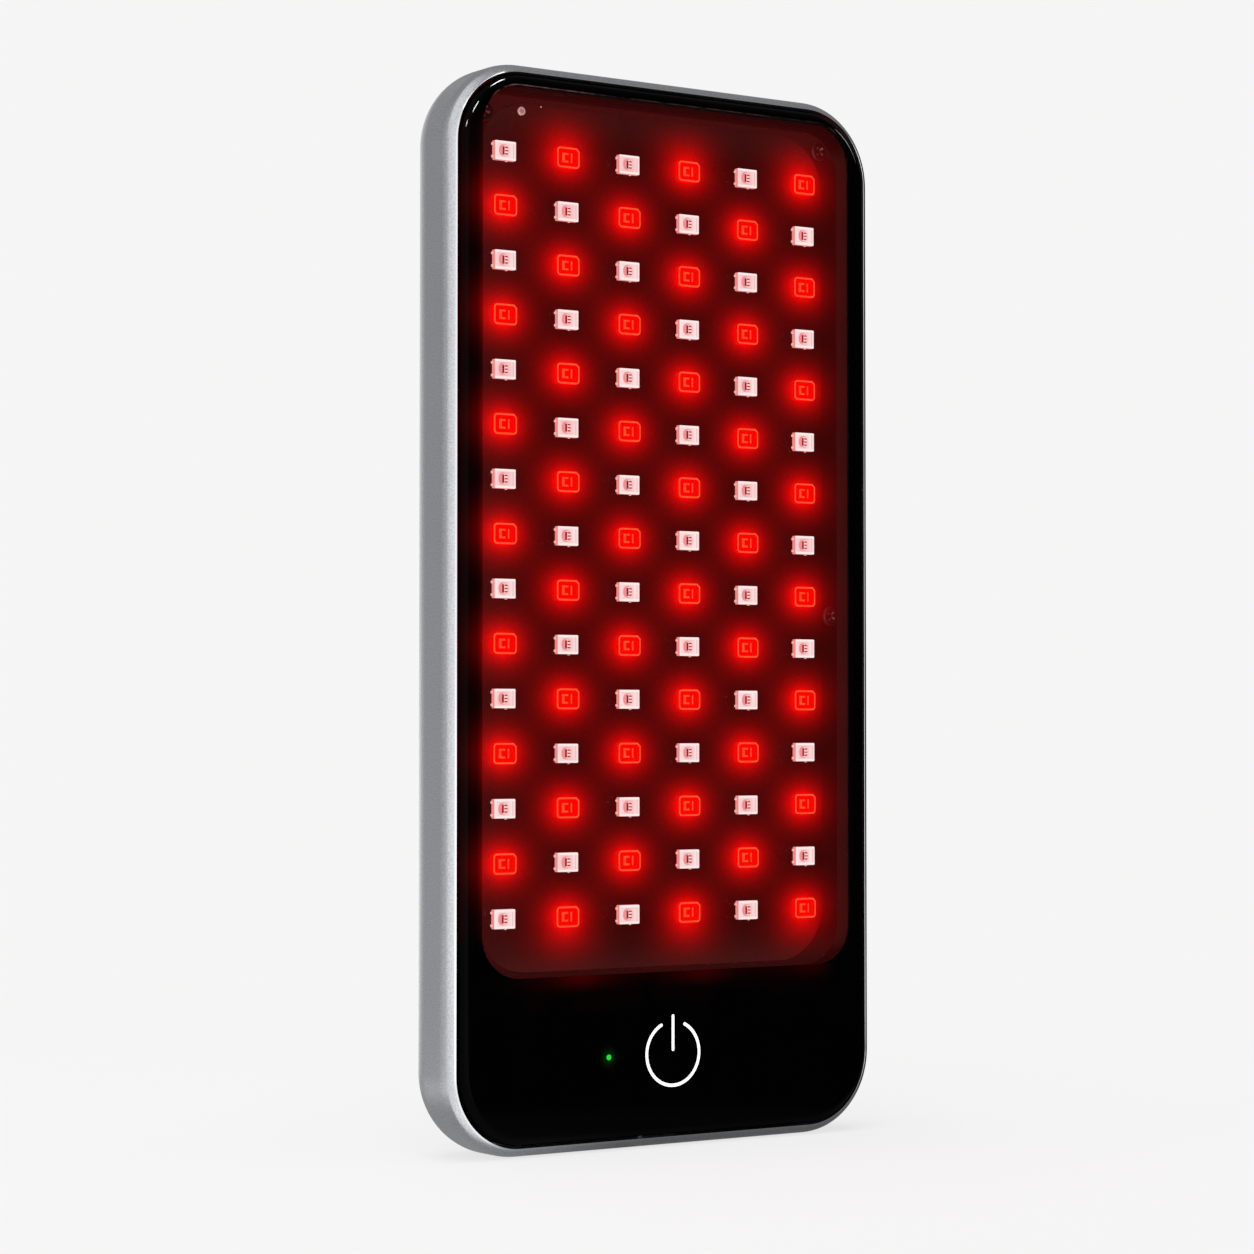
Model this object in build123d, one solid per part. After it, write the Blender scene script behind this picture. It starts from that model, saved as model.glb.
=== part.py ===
from build123d import *
from math import atan2, cos, degrees, radians, sin
import os

# A hand-sized red light therapy panel with its own battery. A light board with a grid of red and
# near-infrared lamps lies in a black moulded frame, behind a clear pane in a gloss-black bezel.
# An aluminium shell holds the frame, the battery and the control board behind it.
# Units are millimetres. The panel stands upright: X runs across, Z runs up, and the front faces -Y.
# The origin is the middle of the bottom edge. A depth is counted from the front face towards the back.

# Whole panel
body_width = 92.0
body_height = 190.0
body_depth = 16.8
body_corner_radius = 14.75
octagon_sides = 8
overrun = 2.0

# Aluminium shell
rim_width = 2.05
rim_depth = 1.75
rim_bevel = 1.15
rim_chamfer = 0.22
back_round = 8.0
back_wall = 1.5
ledge_width = 1.05
cavity_chamfer = 3.4
lug_radius = 2.4
lug_reach = 5.0
lug_hole_radius = 1.0
lug_hole_depth = 7.4
fence_board_gap = 0.175
fence_thickness = 1.0
fence_gate_share = 0.34
port_clearance = 0.2
port_chamfer = 0.3
port_chamfer_angle = 45

# Bezel, pane and marks, moulded as one front in three shots
bezel_gap = 0.1
bezel_depth = 2.0
shoulder_round = 1.6
pane_fit = 0.02
side_border = 3.9
top_border = 2.05
key_strip_height = 28.85
window_corner_radius = 7.7
window_flare = 1.6
symbol_rise_share = 0.4974
symbol_radius_share = 0.1965
symbol_stroke = 0.65
symbol_gap_angle = 53
symbol_bar_bottom = 0.55
symbol_bar_rise = 1.13
indicator_offset = 13.75
indicator_radius = 0.55
tape_thickness = 0.2
tape_inset = 0.45
tape_step = 0.1
tape_bar = 2.6
tape_opening_share = 0.72

# Lamp grid
column_count = 6
row_count = 15
lamp_side_margin = 4.6
lamp_top_margin = 8.78
lamp_bottom_margin = 9.48
lamp_face_depth = 4.05
lamp_height = 1.0
red_lamp_width = 4.95
red_lamp_height = 3.8
red_cup_width = 3.4
red_cup_height = 2.5
infrared_lamp_width = 4.65
infrared_lamp_height = 3.6
infrared_cup_width = 2.1
infrared_cup_height = 2.5
cup_depth = 0.55
polarity_chamfer = 0.5
die_size = 1.1
die_thickness = 0.2

# Light board
board_side_margin = 2.6
board_top_margin = 2.1
board_bottom_margin = 0.6
board_corner_radius = 9.8
board_thickness = 1.6
pin_side_margin = 8.4
pin_top_margin = 1.4
pin_radius = 0.75
pin_rise = 0.15
pin_clearance = 0.05

# Black moulded frame
frame_gap = 0.1
recess_side_step = 1.15
recess_top_step = 0.9
recess_bottom_step = 0.4
recess_corner_radius = 7.6
floor_step = 0.3
board_gap = 0.2
deck_thickness = 1.5
frame_wall = 1.4
deck_rib_thickness = 1.2
deck_rib_gap = 0.05
key_opening_gap = 0.6
screw_block = 10.5

# Frame screws
top_screw_side_margin = 4.4
top_screw_top_margin = 3.3
middle_screw_margin = 1.9
low_screw_rise = 6.45
screw_radius = 0.92
screw_length = 7.2
screw_head_radius = 1.75
head_sides = 12
screw_head_height = 0.9
screw_hole_radius = 1.15
screw_head_gap = 0.35

# Heat path behind the light board
pad_thickness = 0.3
pad_inset = 1.5
pad_corner = 6.0
spreader_thickness = 1.0
spreader_gap = 0.4
spreader_lift = 5.4
sheet_thickness = 0.25
sheet_inset = 4.0

# Battery
cell_side_margin = 7.4
cell_top_margin = 29.7
cell_gap = 3.0
cell_lift = 7.0
cell_bevel = 1.6
cell_seal_height = 4.0
cell_seal_depth = 1.0
fence_gap = 0.5
cell_board_height = 5.0
cell_board_thickness = 1.0
cell_board_gap = 0.3
cell_tab_width = 4.0
cell_tab_thickness = 0.2
cell_tab_share = 0.28
protection_chip_width = 3.0
protection_chip_height = 2.2
protection_chip_thickness = 0.9
foam_inset = 4.0
foam_thickness = 0.65

# Control board
control_side_gap = 0.4
control_top_margin = 2.0
control_bottom_margin = 1.1
control_thickness = 1.0
control_post_size = 3.2
control_post_side_margin = 3.0
control_post_end_margin = 3.4

# Charging port, a USB-C size
port_depth = 6.125
port_width = 8.94
port_height = 3.26
port_corner_radius = 1.25
port_wall = 0.3
port_length = 7.35
port_recess = 0.5
tongue_width = 6.69
tongue_thickness = 0.7
tongue_length = 4.9
port_base_length = 1.4

# Parts on the control board
guide_margin = 1.23
guide_wall = 1.4
foil_thickness = 0.12
foil_gap = 0.5
foil_ring_width = 2.2
contact_size = 1.2
small_lamp_width = 2.0
small_lamp_height = 1.25
small_lamp_thickness = 0.7
small_lamp_share = 0.34
pipe_size = 2.2
pipe_opening_gap = 0.3
controller_size = 5.0
controller_thickness = 0.9
controller_offset = -8.0
controller_drop = 4.6
driver_width = 5.0
driver_height = 4.4
driver_thickness = 1.5
driver_post_margin = 10.4
coil_size = 6.2
coil_back_gap = 2.345
coil_round = 1.2
coil_post_margin = 18.4
coil_top_margin = 4.6
capacitor_width = 7.3
capacitor_height = 4.3
capacitor_thickness = 2.9
capacitor_post_margin = 9.4
capacitor_top_margin = 4.6
socket_width = 6.0
socket_height = 4.4
socket_depth = 3.2
socket_offset = -1.0
lead_wire_radius = 0.6
lead_wire_pitch = 2.4
ribbon_width = 14.0
ribbon_thickness = 0.15
ribbon_side_margin = 20.35
ribbon_socket_height = 3.2
ribbon_socket_wall = 1.0
ribbon_cover = 0.3
ribbon_lap = 3.6
thermistor_length = 1.6
thermistor_width = 0.8
thermistor_thickness = 0.5

# Places that follow from the sizes above
body_middle = body_height / 2
half_depth = body_depth / 2
mouth_width = body_width - 2 * rim_width
mouth_height = body_height - 2 * rim_width
mouth_corner_radius = body_corner_radius - rim_width
bezel_width = mouth_width - 2 * bezel_gap
bezel_height = mouth_height - 2 * bezel_gap
bezel_corner_radius = mouth_corner_radius - bezel_gap
bezel_bottom = rim_width + bezel_gap
window_width = bezel_width - 2 * side_border
window_top = bezel_bottom + bezel_height - top_border
window_bottom = bezel_bottom + key_strip_height
symbol_height = bezel_bottom + symbol_rise_share * key_strip_height
symbol_radius = symbol_radius_share * key_strip_height
symbol_bar_top = symbol_radius + symbol_bar_rise
guide_radius = symbol_radius + guide_margin
small_lamp_offset = small_lamp_share * guide_radius
board_width = window_width - 2 * board_side_margin
board_top = window_top - board_top_margin
board_bottom = window_bottom + board_bottom_margin
column_pitch = (board_width - 2 * lamp_side_margin) / (column_count - 1)
top_row = board_top - lamp_top_margin
row_pitch = (top_row - board_bottom - lamp_bottom_margin) / (row_count - 1)
pin_offset = board_width / 2 - pin_side_margin
pin_height = board_top - pin_top_margin
recess_width = window_width + 2 * recess_side_step
recess_top = window_top - recess_top_step
recess_bottom = window_bottom - recess_bottom_step
top_screw_offset = recess_width / 2 - top_screw_side_margin
top_screw_height = recess_top - top_screw_top_margin
middle_screw_offset = recess_width / 2 - middle_screw_margin
low_screw_height = bezel_bottom + low_screw_rise
frame_width = mouth_width - 2 * frame_gap
frame_height = mouth_height - 2 * frame_gap
frame_corner_radius = mouth_corner_radius - frame_gap
frame_bottom = rim_width + frame_gap
cavity_width = mouth_width - 2 * ledge_width
cavity_height = mouth_height - 2 * ledge_width
cavity_corner_radius = mouth_corner_radius - ledge_width
cavity_floor = body_depth - back_wall
frame_front = bezel_depth + tape_thickness
board_front = lamp_face_depth + lamp_height
board_back = board_front + board_thickness
floor_front = board_front + floor_step
frame_back = board_back + pad_thickness
deck_back = frame_front + deck_thickness
spreader_back = frame_back + spreader_thickness
sheet_back = spreader_back + sheet_thickness
spreader_bottom = board_bottom + spreader_lift
cell_bottom = spreader_bottom + cell_lift
cell_width = (cavity_width - 2 * cell_side_margin - cell_gap) / 2
cell_height = board_top - cell_top_margin - cell_bottom
cell_front = sheet_back
cell_back = cavity_floor - foam_thickness
cell_mid_depth = (cell_front + cell_back) / 2
cell_centre = (cell_gap + cell_width) / 2
control_front = port_depth + port_height / 2
control_back = control_front + control_thickness
control_width = 2 * (top_screw_offset - lug_radius - control_side_gap)
control_top = recess_bottom - control_top_margin
control_bottom = rim_width + ledge_width + control_bottom_margin
control_post_offset = control_width / 2 - control_post_side_margin
driver_offset = control_post_offset - driver_post_margin
coil_offset = control_post_offset - coil_post_margin
capacitor_offset = control_post_offset - capacitor_post_margin
ribbon_offset = board_width / 2 - ribbon_side_margin
screw_places = [
    (side * across, height)
    for across, height in (
        (top_screw_offset, top_screw_height),
        (middle_screw_offset, body_middle),
        (top_screw_offset, low_screw_height),
    )
    for side in (-1, 1)
]
low_screw_places = screw_places[-2:]
wire_depth = cell_mid_depth + cell_seal_depth / 2 - lead_wire_radius - pane_fit
ribbon_front = board_back
ribbon_back = ribbon_front + ribbon_thickness
cell_board_top = cell_bottom - cell_board_gap
cell_board_middle = cell_board_top - cell_board_height / 2
cell_board_front = cell_mid_depth + cell_seal_depth / 2
cell_board_back = cell_board_front + cell_board_thickness
fence_front = cell_board_back + fence_board_gap
coil_back = cavity_floor - coil_back_gap
foil_inner_radius = guide_radius + foil_gap
foil_outer_radius = foil_inner_radius + foil_ring_width
control_post_places = [
    (side * control_post_offset, height)
    for side in (-1, 1)
    for height in (
        control_bottom + control_post_end_margin,
        control_top - control_post_end_margin,
    )
]


def depth_plane(depth):
    """The upright plane at a depth behind the front face, looking out of the front."""
    return Plane.XZ.offset(half_depth - depth)


def slab(profile, front, back):
    """A profile in X and Z, made solid from one depth to another."""
    return extrude(depth_plane(back) * profile, amount=back - front)


def rounded(width, height, radius, middle):
    """A rounded rectangle on the centre line, with its middle at a given height."""
    return Pos(0, middle) * RectangleRounded(width, height, radius)


def between(width, top, bottom, radius):
    """A rounded rectangle on the centre line, from one height down to another."""
    return rounded(width, top - bottom, radius, (top + bottom) / 2)


def octagons(radius):
    """An eight-sided outline round each frame screw's place."""
    outline = RegularPolygon(radius, octagon_sides)
    return Sketch() + [Pos(x, z) * outline for x, z in screw_places]


def rear_edges(solid):
    return solid.faces().sort_by(Axis.Y)[-1].edges()


def front_edges(solid):
    return solid.faces().sort_by(Axis.Y)[0].edges()


def block(width, height, x, z, front, back):
    """A plain block, given by its middle in X and Z and its two depths."""
    return slab(Pos(x, z) * Rectangle(width, height), front, back)


def lamp_places(parity):
    """Middles of the lamps of one kind: the two kinds alternate like the squares of a chessboard."""
    return [
        (
            (column - (column_count - 1) / 2) * column_pitch,
            top_row - row * row_pitch,
        )
        for row in range(row_count)
        for column in range(column_count)
        if (column + row) % 2 == parity
    ]


red_places = lamp_places(1)
infrared_places = lamp_places(0)


def power_mark(inset=0):
    """The power symbol: a ring open at the top, with an upright bar in the opening."""
    stroke = symbol_stroke - 2 * inset
    ring = Circle(symbol_radius + stroke / 2) - Circle(symbol_radius - stroke / 2)
    reach = 2 * symbol_radius
    half_angle = radians(symbol_gap_angle / 2)
    half_gap = reach * sin(half_angle) + inset
    ring -= Polygon(
        (0, 0),
        (half_gap, reach * cos(half_angle)),
        (-half_gap, reach * cos(half_angle)),
        align=None,
    )
    bar_height = symbol_bar_top - symbol_bar_bottom - 2 * inset
    bar = Pos(0, (symbol_bar_top + symbol_bar_bottom) / 2) * Rectangle(stroke, bar_height)
    return Pos(0, symbol_height) * (ring + bar)


def indicator_outline():
    """The small light opening beside the power key."""
    return Pos(-indicator_offset, symbol_height) * RegularPolygon(indicator_radius, octagon_sides)


def port_profile(extra):
    """The outline of the charging port in X and Y, made larger on every side by extra."""
    outline = RectangleRounded(
        port_width + 2 * extra, port_height + 2 * extra, port_corner_radius + extra
    )
    return Pos(0, port_depth - half_depth) * outline


def cell_fence(side):
    """A low wall on the shell's back, round one battery cell."""
    width = cell_width + 2 * fence_gap
    height = cell_height + 2 * fence_gap
    middle = (side * cell_centre, cell_bottom + cell_height / 2)
    outer = Pos(*middle) * Rectangle(width + 2 * fence_thickness, height + 2 * fence_thickness)
    inner = Pos(*middle) * Rectangle(width, height)
    side_gate = Pos(*middle) * Rectangle(width + 2 * overrun, fence_gate_share * height)
    end_gate = Pos(*middle) * Rectangle(fence_gate_share * width, height + 2 * overrun)
    return outer - inner - side_gate - end_gate


def lug_pads(extra=0):
    """The lugs' outlines: each runs from its screw out to the shell's wall."""
    pads = []
    for x, z in screw_places:
        across = 1 if x > 0 else -1
        up = 0 if z == body_middle else (1 if z > body_middle else -1)
        middle = Pos(x + across * lug_reach / 2, z + up * lug_reach / 2)
        width = 2 * (lug_radius + extra) + lug_reach
        height = 2 * (lug_radius + extra) + abs(up) * lug_reach
        pads.append(middle * Rectangle(width, height))
    return Sketch() + pads


def rear_shell():
    """The aluminium shell, cut from the solid: a deep tray with soft back edges and a bevelled rim.
    The screw lugs, board posts and cell fences are left standing inside it."""
    outline = rounded(body_width, body_height, body_corner_radius, body_middle)
    shell = slab(outline, rim_depth, body_depth)
    shell = fillet(rear_edges(shell), back_round)
    shell = chamfer(front_edges(shell), rim_bevel)
    shell -= slab(
        rounded(mouth_width, mouth_height, mouth_corner_radius, body_middle),
        rim_depth - overrun,
        frame_back,
    )
    rim_edge = shell.faces().sort_by(Axis.Y)[0].inner_wires()[0].edges()
    shell = chamfer(rim_edge, rim_chamfer)
    cavity = slab(
        rounded(cavity_width, cavity_height, cavity_corner_radius, body_middle),
        frame_back - overrun,
        cavity_floor,
    )
    cavity = chamfer(rear_edges(cavity), cavity_chamfer)
    cavity -= slab(lug_pads(), frame_back, cavity_floor + overrun)
    for x, z in control_post_places:
        cavity -= block(
            control_post_size, control_post_size, x, z, control_back, cavity_floor + overrun
        )
    for side in (-1, 1):
        cavity -= slab(cell_fence(side), fence_front, cavity_floor + overrun)
    shell -= cavity
    shell -= slab(octagons(lug_hole_radius), frame_back, frame_back + lug_hole_depth)
    wall = rim_width + ledge_width
    port_hole = extrude(port_profile(port_clearance), amount=wall + overrun)
    port_hole += extrude(port_profile(port_clearance), amount=-overrun)
    flare = extrude(
        port_profile(port_clearance + port_chamfer),
        amount=port_chamfer,
        taper=port_chamfer_angle,
    )
    return shell - port_hole - flare


def window_outline(extra=0):
    return between(
        window_width + 2 * extra,
        window_top + extra,
        window_bottom - extra,
        window_corner_radius + extra,
    )


def window_shot(fit=0):
    """The window's clear shot. It widens towards the back, under the bezel's edge."""
    widest = depth_plane(bezel_depth) * window_outline(window_flare - fit)
    return extrude(widest, amount=bezel_depth, taper=degrees(atan2(window_flare, bezel_depth)))


def black_bezel():
    """The gloss-black shot of the front: a border with a rounded shoulder and the key strip."""
    outline = rounded(bezel_width, bezel_height, bezel_corner_radius, body_middle)
    bezel = slab(outline, 0, bezel_depth)
    bezel = fillet(front_edges(bezel), shoulder_round)
    marks = Sketch() + [power_mark(), indicator_outline()]
    return bezel - window_shot() - slab(marks, -overrun, bezel_depth + overrun)


def front_pane():
    """The clear shot of the front, level with the bezel on both faces."""
    return window_shot(pane_fit)


def power_symbol():
    """The white shot of the front: ring and bar, lit from behind by the light guide."""
    return slab(power_mark(pane_fit), 0, bezel_depth)


def indicator_lens():
    """The clear plug in the small light opening."""
    return slab(offset(indicator_outline(), -pane_fit), 0, bezel_depth)


def pane_tape():
    """Double-sided tape between the front and the frame: a ring with a bar above the key strip."""
    ring = rounded(
        frame_width - 2 * tape_inset,
        frame_height - 2 * tape_inset,
        frame_corner_radius - tape_inset,
        body_middle,
    )
    ring -= between(
        recess_width + 2 * tape_step,
        window_top + tape_step,
        recess_bottom - tape_step,
        recess_corner_radius + tape_step,
    )
    opening_top = recess_bottom - tape_step - tape_bar
    opening_bottom = frame_bottom + tape_inset + tape_bar
    ring -= Pos(0, (opening_top + opening_bottom) / 2) * Rectangle(
        tape_opening_share * frame_width, opening_top - opening_bottom
    )
    return slab(ring, bezel_depth, frame_front)


def key_opening():
    """The square opening in the deck for the sensing ring and the light guide."""
    size = 2 * (foil_outer_radius + key_opening_gap)
    return Pos(0, symbol_height) * Rectangle(size, size)


def pipe_outline(extra):
    size = pipe_size + 2 * extra
    return Pos(-indicator_offset, symbol_height) * Rectangle(size, size)


def screw_access():
    """Square wells that let the lower screws in from the front."""
    size = 2 * (screw_head_radius + screw_head_gap)
    return Sketch() + [Pos(x, z) * Rectangle(size, size) for x, z in low_screw_places]


def mid_frame():
    """The black moulded frame: walls round the lamp recess, a floor that takes the screws, and
    a deck with ribs and openings behind the key strip."""
    outline = rounded(frame_width, frame_height, frame_corner_radius, body_middle)
    frame = slab(outline, frame_front, frame_back)
    recess = between(recess_width, recess_top, recess_bottom, recess_corner_radius)
    frame -= slab(recess, frame_front - overrun, floor_front)
    pocket = between(
        board_width + 2 * board_gap,
        board_top + board_gap,
        board_bottom - board_gap,
        board_corner_radius + board_gap,
    )
    frame -= slab(pocket, floor_front - overrun, frame_back + overrun)
    hollow_width = frame_width - 2 * frame_wall
    hollow_top = recess_bottom - frame_wall
    hollow_bottom = frame_bottom + frame_wall
    hollow = Pos(0, (hollow_top + hollow_bottom) / 2) * Rectangle(
        hollow_width, hollow_top - hollow_bottom
    )
    blocks = Sketch() + [
        Pos(side * frame_width / 2, 0) * Rectangle(2 * screw_block, 2 * screw_block + 2 * rim_width)
        for side in (-1, 1)
    ]
    rounding = rounded(
        frame_width - 2 * frame_wall,
        frame_height - 2 * frame_wall,
        frame_corner_radius - frame_wall,
        body_middle,
    )
    frame -= slab((hollow & rounding) - blocks, deck_back, frame_back + overrun)
    for side in (-1, 1):
        frame += block(
            deck_rib_thickness,
            hollow_top - hollow_bottom,
            side * control_post_offset,
            (hollow_top + hollow_bottom) / 2,
            deck_back - deck_thickness / 2,
            control_front - deck_rib_gap,
        )
    frame -= slab(key_opening(), frame_front - overrun, deck_back)
    frame -= slab(pipe_outline(pipe_opening_gap), frame_front - overrun, deck_back + overrun)
    frame -= slab(screw_access(), frame_front - overrun, floor_front)
    frame -= slab(octagons(screw_hole_radius), floor_front, frame_back)
    notch_width = port_width + 2 * port_clearance
    notch_top = hollow_bottom + frame_wall
    notch = block(notch_width, 2 * notch_top, 0, 0, deck_back, frame_back + overrun)
    ribbon_gate = block(
        ribbon_width + 2 * board_gap,
        2 * frame_wall + 2 * board_gap,
        ribbon_offset,
        recess_bottom,
        board_back - board_gap,
        frame_back + overrun,
    )
    return frame - notch - ribbon_gate


def frame_screws():
    """Pan-head screws that join the frame to the shell. An eight-sided core stands for the thread."""
    head = RegularPolygon(screw_head_radius, head_sides)
    heads = Sketch() + [Pos(x, z) * head for x, z in screw_places]
    shanks = slab(octagons(screw_radius), floor_front, floor_front + screw_length)
    return slab(heads, floor_front - screw_head_height, floor_front) + shanks


def light_board():
    """The aluminium-cored board that carries the lamps, with one hole for its locating pin."""
    board = slab(
        between(board_width, board_top, board_bottom, board_corner_radius), board_front, board_back
    )
    hole = Pos(-pin_offset, pin_height) * RegularPolygon(pin_radius + pin_clearance, octagon_sides)
    return board - slab(hole, board_front - overrun, board_back + overrun)


def locating_pin():
    """A small riveted pin that sets the light board on the heat spreader."""
    pin = Pos(-pin_offset, pin_height) * RegularPolygon(pin_radius, octagon_sides)
    return slab(pin, board_front - pin_rise, frame_back)


def lamp_outline(width, height):
    """A lamp body from the front, with the cut corner that marks its polarity."""
    corner = (width / 2 - polarity_chamfer, height / 2)
    return Polygon(
        (-width / 2, -height / 2),
        (width / 2, -height / 2),
        (width / 2, height / 2 - polarity_chamfer),
        corner,
        (-width / 2, height / 2),
        align=None,
    )


def lamps(places, width, height, cup):
    """Lamp bodies with an open cup in their face, one at each place."""
    body = slab(lamp_outline(width, height), lamp_face_depth, board_front)
    body -= slab(cup, lamp_face_depth - overrun, lamp_face_depth + cup_depth)
    return Compound([Pos(x, 0, z) * body for x, z in places])


def dies(places):
    """The light-giving crystal on the floor of each cup."""
    floor = lamp_face_depth + cup_depth
    die = block(die_size, die_size, 0, 0, floor - die_thickness, floor)
    return Compound([Pos(x, 0, z) * die for x, z in places])


def thermal_pad():
    """A soft heat-carrying sheet between the light board and the spreader, with cut corners."""
    top = board_top - 2 * pad_inset
    height = top - spreader_bottom
    pad = Pos(0, (top + spreader_bottom) / 2) * Rectangle(board_width - 2 * pad_inset, height)
    pad = chamfer(pad.vertices(), pad_corner)
    return slab(pad, board_back, frame_back)


def heat_spreader():
    """An aluminium plate behind the frame, notched round the shell's lugs."""
    top = body_height - rim_width - ledge_width - spreader_gap
    plate = Pos(0, (top + spreader_bottom) / 2) * Rectangle(
        cavity_width - 2 * spreader_gap, top - spreader_bottom
    )
    return slab(plate - lug_pads(spreader_gap), frame_back, spreader_back)


def insulating_sheet():
    """A thin sheet that keeps the cells off the spreader."""
    return block(
        2 * cell_width + cell_gap,
        cell_height + 2 * sheet_inset,
        0,
        cell_bottom + cell_height / 2,
        spreader_back,
        sheet_back,
    )


def battery_cells():
    """Two flat pouch cells with bevelled edges and a thin sealed end."""
    cells = []
    for side in (-1, 1):
        middle = cell_bottom + cell_height / 2
        pouch = block(
            cell_width,
            cell_height - cell_seal_height,
            side * cell_centre,
            middle + cell_seal_height / 2,
            cell_front,
            cell_back,
        )
        pouch = chamfer(pouch.edges().filter_by(Axis.Z), cell_bevel)
        seal_middle = (cell_front + cell_back) / 2
        seal = block(
            cell_width - 2 * cell_bevel,
            cell_seal_height + cell_bevel,
            side * cell_centre,
            cell_bottom + (cell_seal_height + cell_bevel) / 2,
            seal_middle - cell_seal_depth / 2,
            seal_middle + cell_seal_depth / 2,
        )
        cells.append(pouch + seal)
    return Compound(cells)


def cell_tabs():
    """Nickel tabs from each cell's sealed end to the protection board."""
    tabs = []
    for side in (-1, 1):
        for way in (-1, 1):
            x = side * cell_centre + way * cell_tab_share * cell_width
            front = cell_board_front - cell_tab_thickness
            reach = cell_board_height / 2 + cell_board_gap
            tabs.append(
                block(cell_tab_width, reach, x, cell_bottom - reach / 2, front, cell_board_front)
            )
    return Compound(tabs)


def protection_board():
    """The narrow board below the cells that guards them."""
    width = 2 * cell_width + cell_gap - 2 * cell_bevel
    return block(
        width, cell_board_height, 0, cell_board_middle, cell_board_front, cell_board_back
    )


def protection_chips():
    """The guard circuit and its switches."""
    return Compound(
        [
            block(
                protection_chip_width,
                protection_chip_height,
                step * 2 * protection_chip_width,
                cell_board_middle,
                cell_board_back,
                cell_board_back + protection_chip_thickness,
            )
            for step in (-2, -1, 1, 2)
        ]
    )


def battery_foam():
    """A foam pad behind each cell that takes up play."""
    return Compound(
        [
            block(
                cell_width - 2 * foam_inset,
                cell_height - cell_seal_height - 2 * foam_inset,
                side * cell_centre,
                cell_bottom + (cell_height + cell_seal_height) / 2,
                cell_back,
                cavity_floor,
            )
            for side in (-1, 1)
        ]
    )


def control_board():
    """The lower board, clamped between the shell's posts and the frame's ribs."""
    return block(
        control_width,
        control_top - control_bottom,
        0,
        (control_top + control_bottom) / 2,
        control_front,
        control_back,
    )


def port_solid(inset, bottom, length):
    return Pos(0, 0, bottom) * extrude(port_profile(-inset), amount=length)


def port_shell():
    """The drawn steel shell of the charging port."""
    outer = port_solid(0, port_recess, port_length)
    return outer - port_solid(port_wall, port_recess - overrun, port_length + overrun)


def port_tongue():
    """The plastic core of the port with its contact tongue."""
    base_bottom = port_recess + port_length - port_base_length
    base = port_solid(port_wall + pane_fit, base_bottom, port_base_length)
    front = port_depth - tongue_thickness / 2
    tongue = block(
        tongue_width,
        tongue_length,
        0,
        base_bottom - tongue_length / 2,
        front,
        front + tongue_thickness,
    )
    return base + tongue


def key_polygon(radius):
    return Pos(0, symbol_height) * RegularPolygon(radius, octagon_sides)


def touch_foil():
    """The eight-sided copper ring behind the front that senses a finger."""
    ring = key_polygon(foil_outer_radius) - key_polygon(foil_inner_radius)
    return slab(ring, bezel_depth, bezel_depth + foil_thickness)


def touch_contact():
    """A spring contact from the control board to the copper ring."""
    reach = (foil_outer_radius + foil_inner_radius) / 2
    front = bezel_depth + foil_thickness
    return block(contact_size, contact_size, reach, symbol_height, front, control_front)


def light_guide():
    """A clear eight-sided cup that spreads light behind the power symbol."""
    cup = slab(key_polygon(guide_radius), bezel_depth, control_front)
    hollow_front = bezel_depth + guide_wall
    return cup - slab(key_polygon(guide_radius - guide_wall), hollow_front, control_front + overrun)


def symbol_lamps():
    """White lamps on the control board, inside the light guide."""
    return Compound(
        [
            block(
                small_lamp_width,
                small_lamp_height,
                way * small_lamp_offset,
                symbol_height + side * small_lamp_offset,
                control_front - small_lamp_thickness,
                control_front,
            )
            for way in (-1, 1)
            for side in (-1, 1)
        ]
    )


def indicator_lamp():
    """The green lamp of the charge light."""
    return block(
        small_lamp_width,
        small_lamp_height,
        -indicator_offset,
        symbol_height,
        control_front - small_lamp_thickness,
        control_front,
    )


def indicator_pipe():
    """A clear rod that leads the green light to the front."""
    return slab(pipe_outline(0), bezel_depth, control_front - small_lamp_thickness)


def controller():
    """The controller chip on the back of the control board."""
    return block(
        controller_size,
        controller_size,
        controller_offset,
        symbol_height - controller_drop,
        control_back,
        control_back + controller_thickness,
    )


def driver_chips():
    """The charger and the lamp driver."""
    return Compound(
        [
            block(
                driver_width,
                driver_height,
                side * driver_offset,
                control_bottom + driver_height,
                control_back,
                control_back + driver_thickness,
            )
            for side in (-1, 1)
        ]
    )


def coils():
    """Two moulded inductors of the lamp driver."""
    bodies = []
    for side in (-1, 1):
        coil = block(
            coil_size,
            coil_size,
            side * coil_offset,
            control_top - coil_top_margin - coil_size / 2,
            control_back,
            coil_back,
        )
        bodies.append(chamfer(coil.edges().filter_by(Axis.Y), coil_round))
    return Compound(bodies)


def capacitors():
    """Two moulded block capacitors."""
    height = control_top - capacitor_top_margin - capacitor_height / 2
    return Compound(
        [
            block(
                capacitor_width,
                capacitor_height,
                side * capacitor_offset,
                height,
                control_back,
                control_back + capacitor_thickness,
            )
            for side in (-1, 1)
        ]
    )


def battery_socket():
    """The plug and socket of the battery leads."""
    return block(
        socket_width,
        socket_height,
        socket_offset,
        control_top - socket_height / 2,
        control_back,
        control_back + socket_depth,
    )


def battery_leads():
    """Two short straight leads from the protection board down into the socket."""
    leads = []
    for side in (-1, 1):
        x = socket_offset + side * lead_wire_pitch / 2
        section = Pos(x, wire_depth - half_depth) * RegularPolygon(lead_wire_radius, octagon_sides)
        lead = extrude(Pos(0, 0, control_top) * section, amount=cell_board_top - control_top)
        leads.append(lead)
    return Compound(leads)


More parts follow.
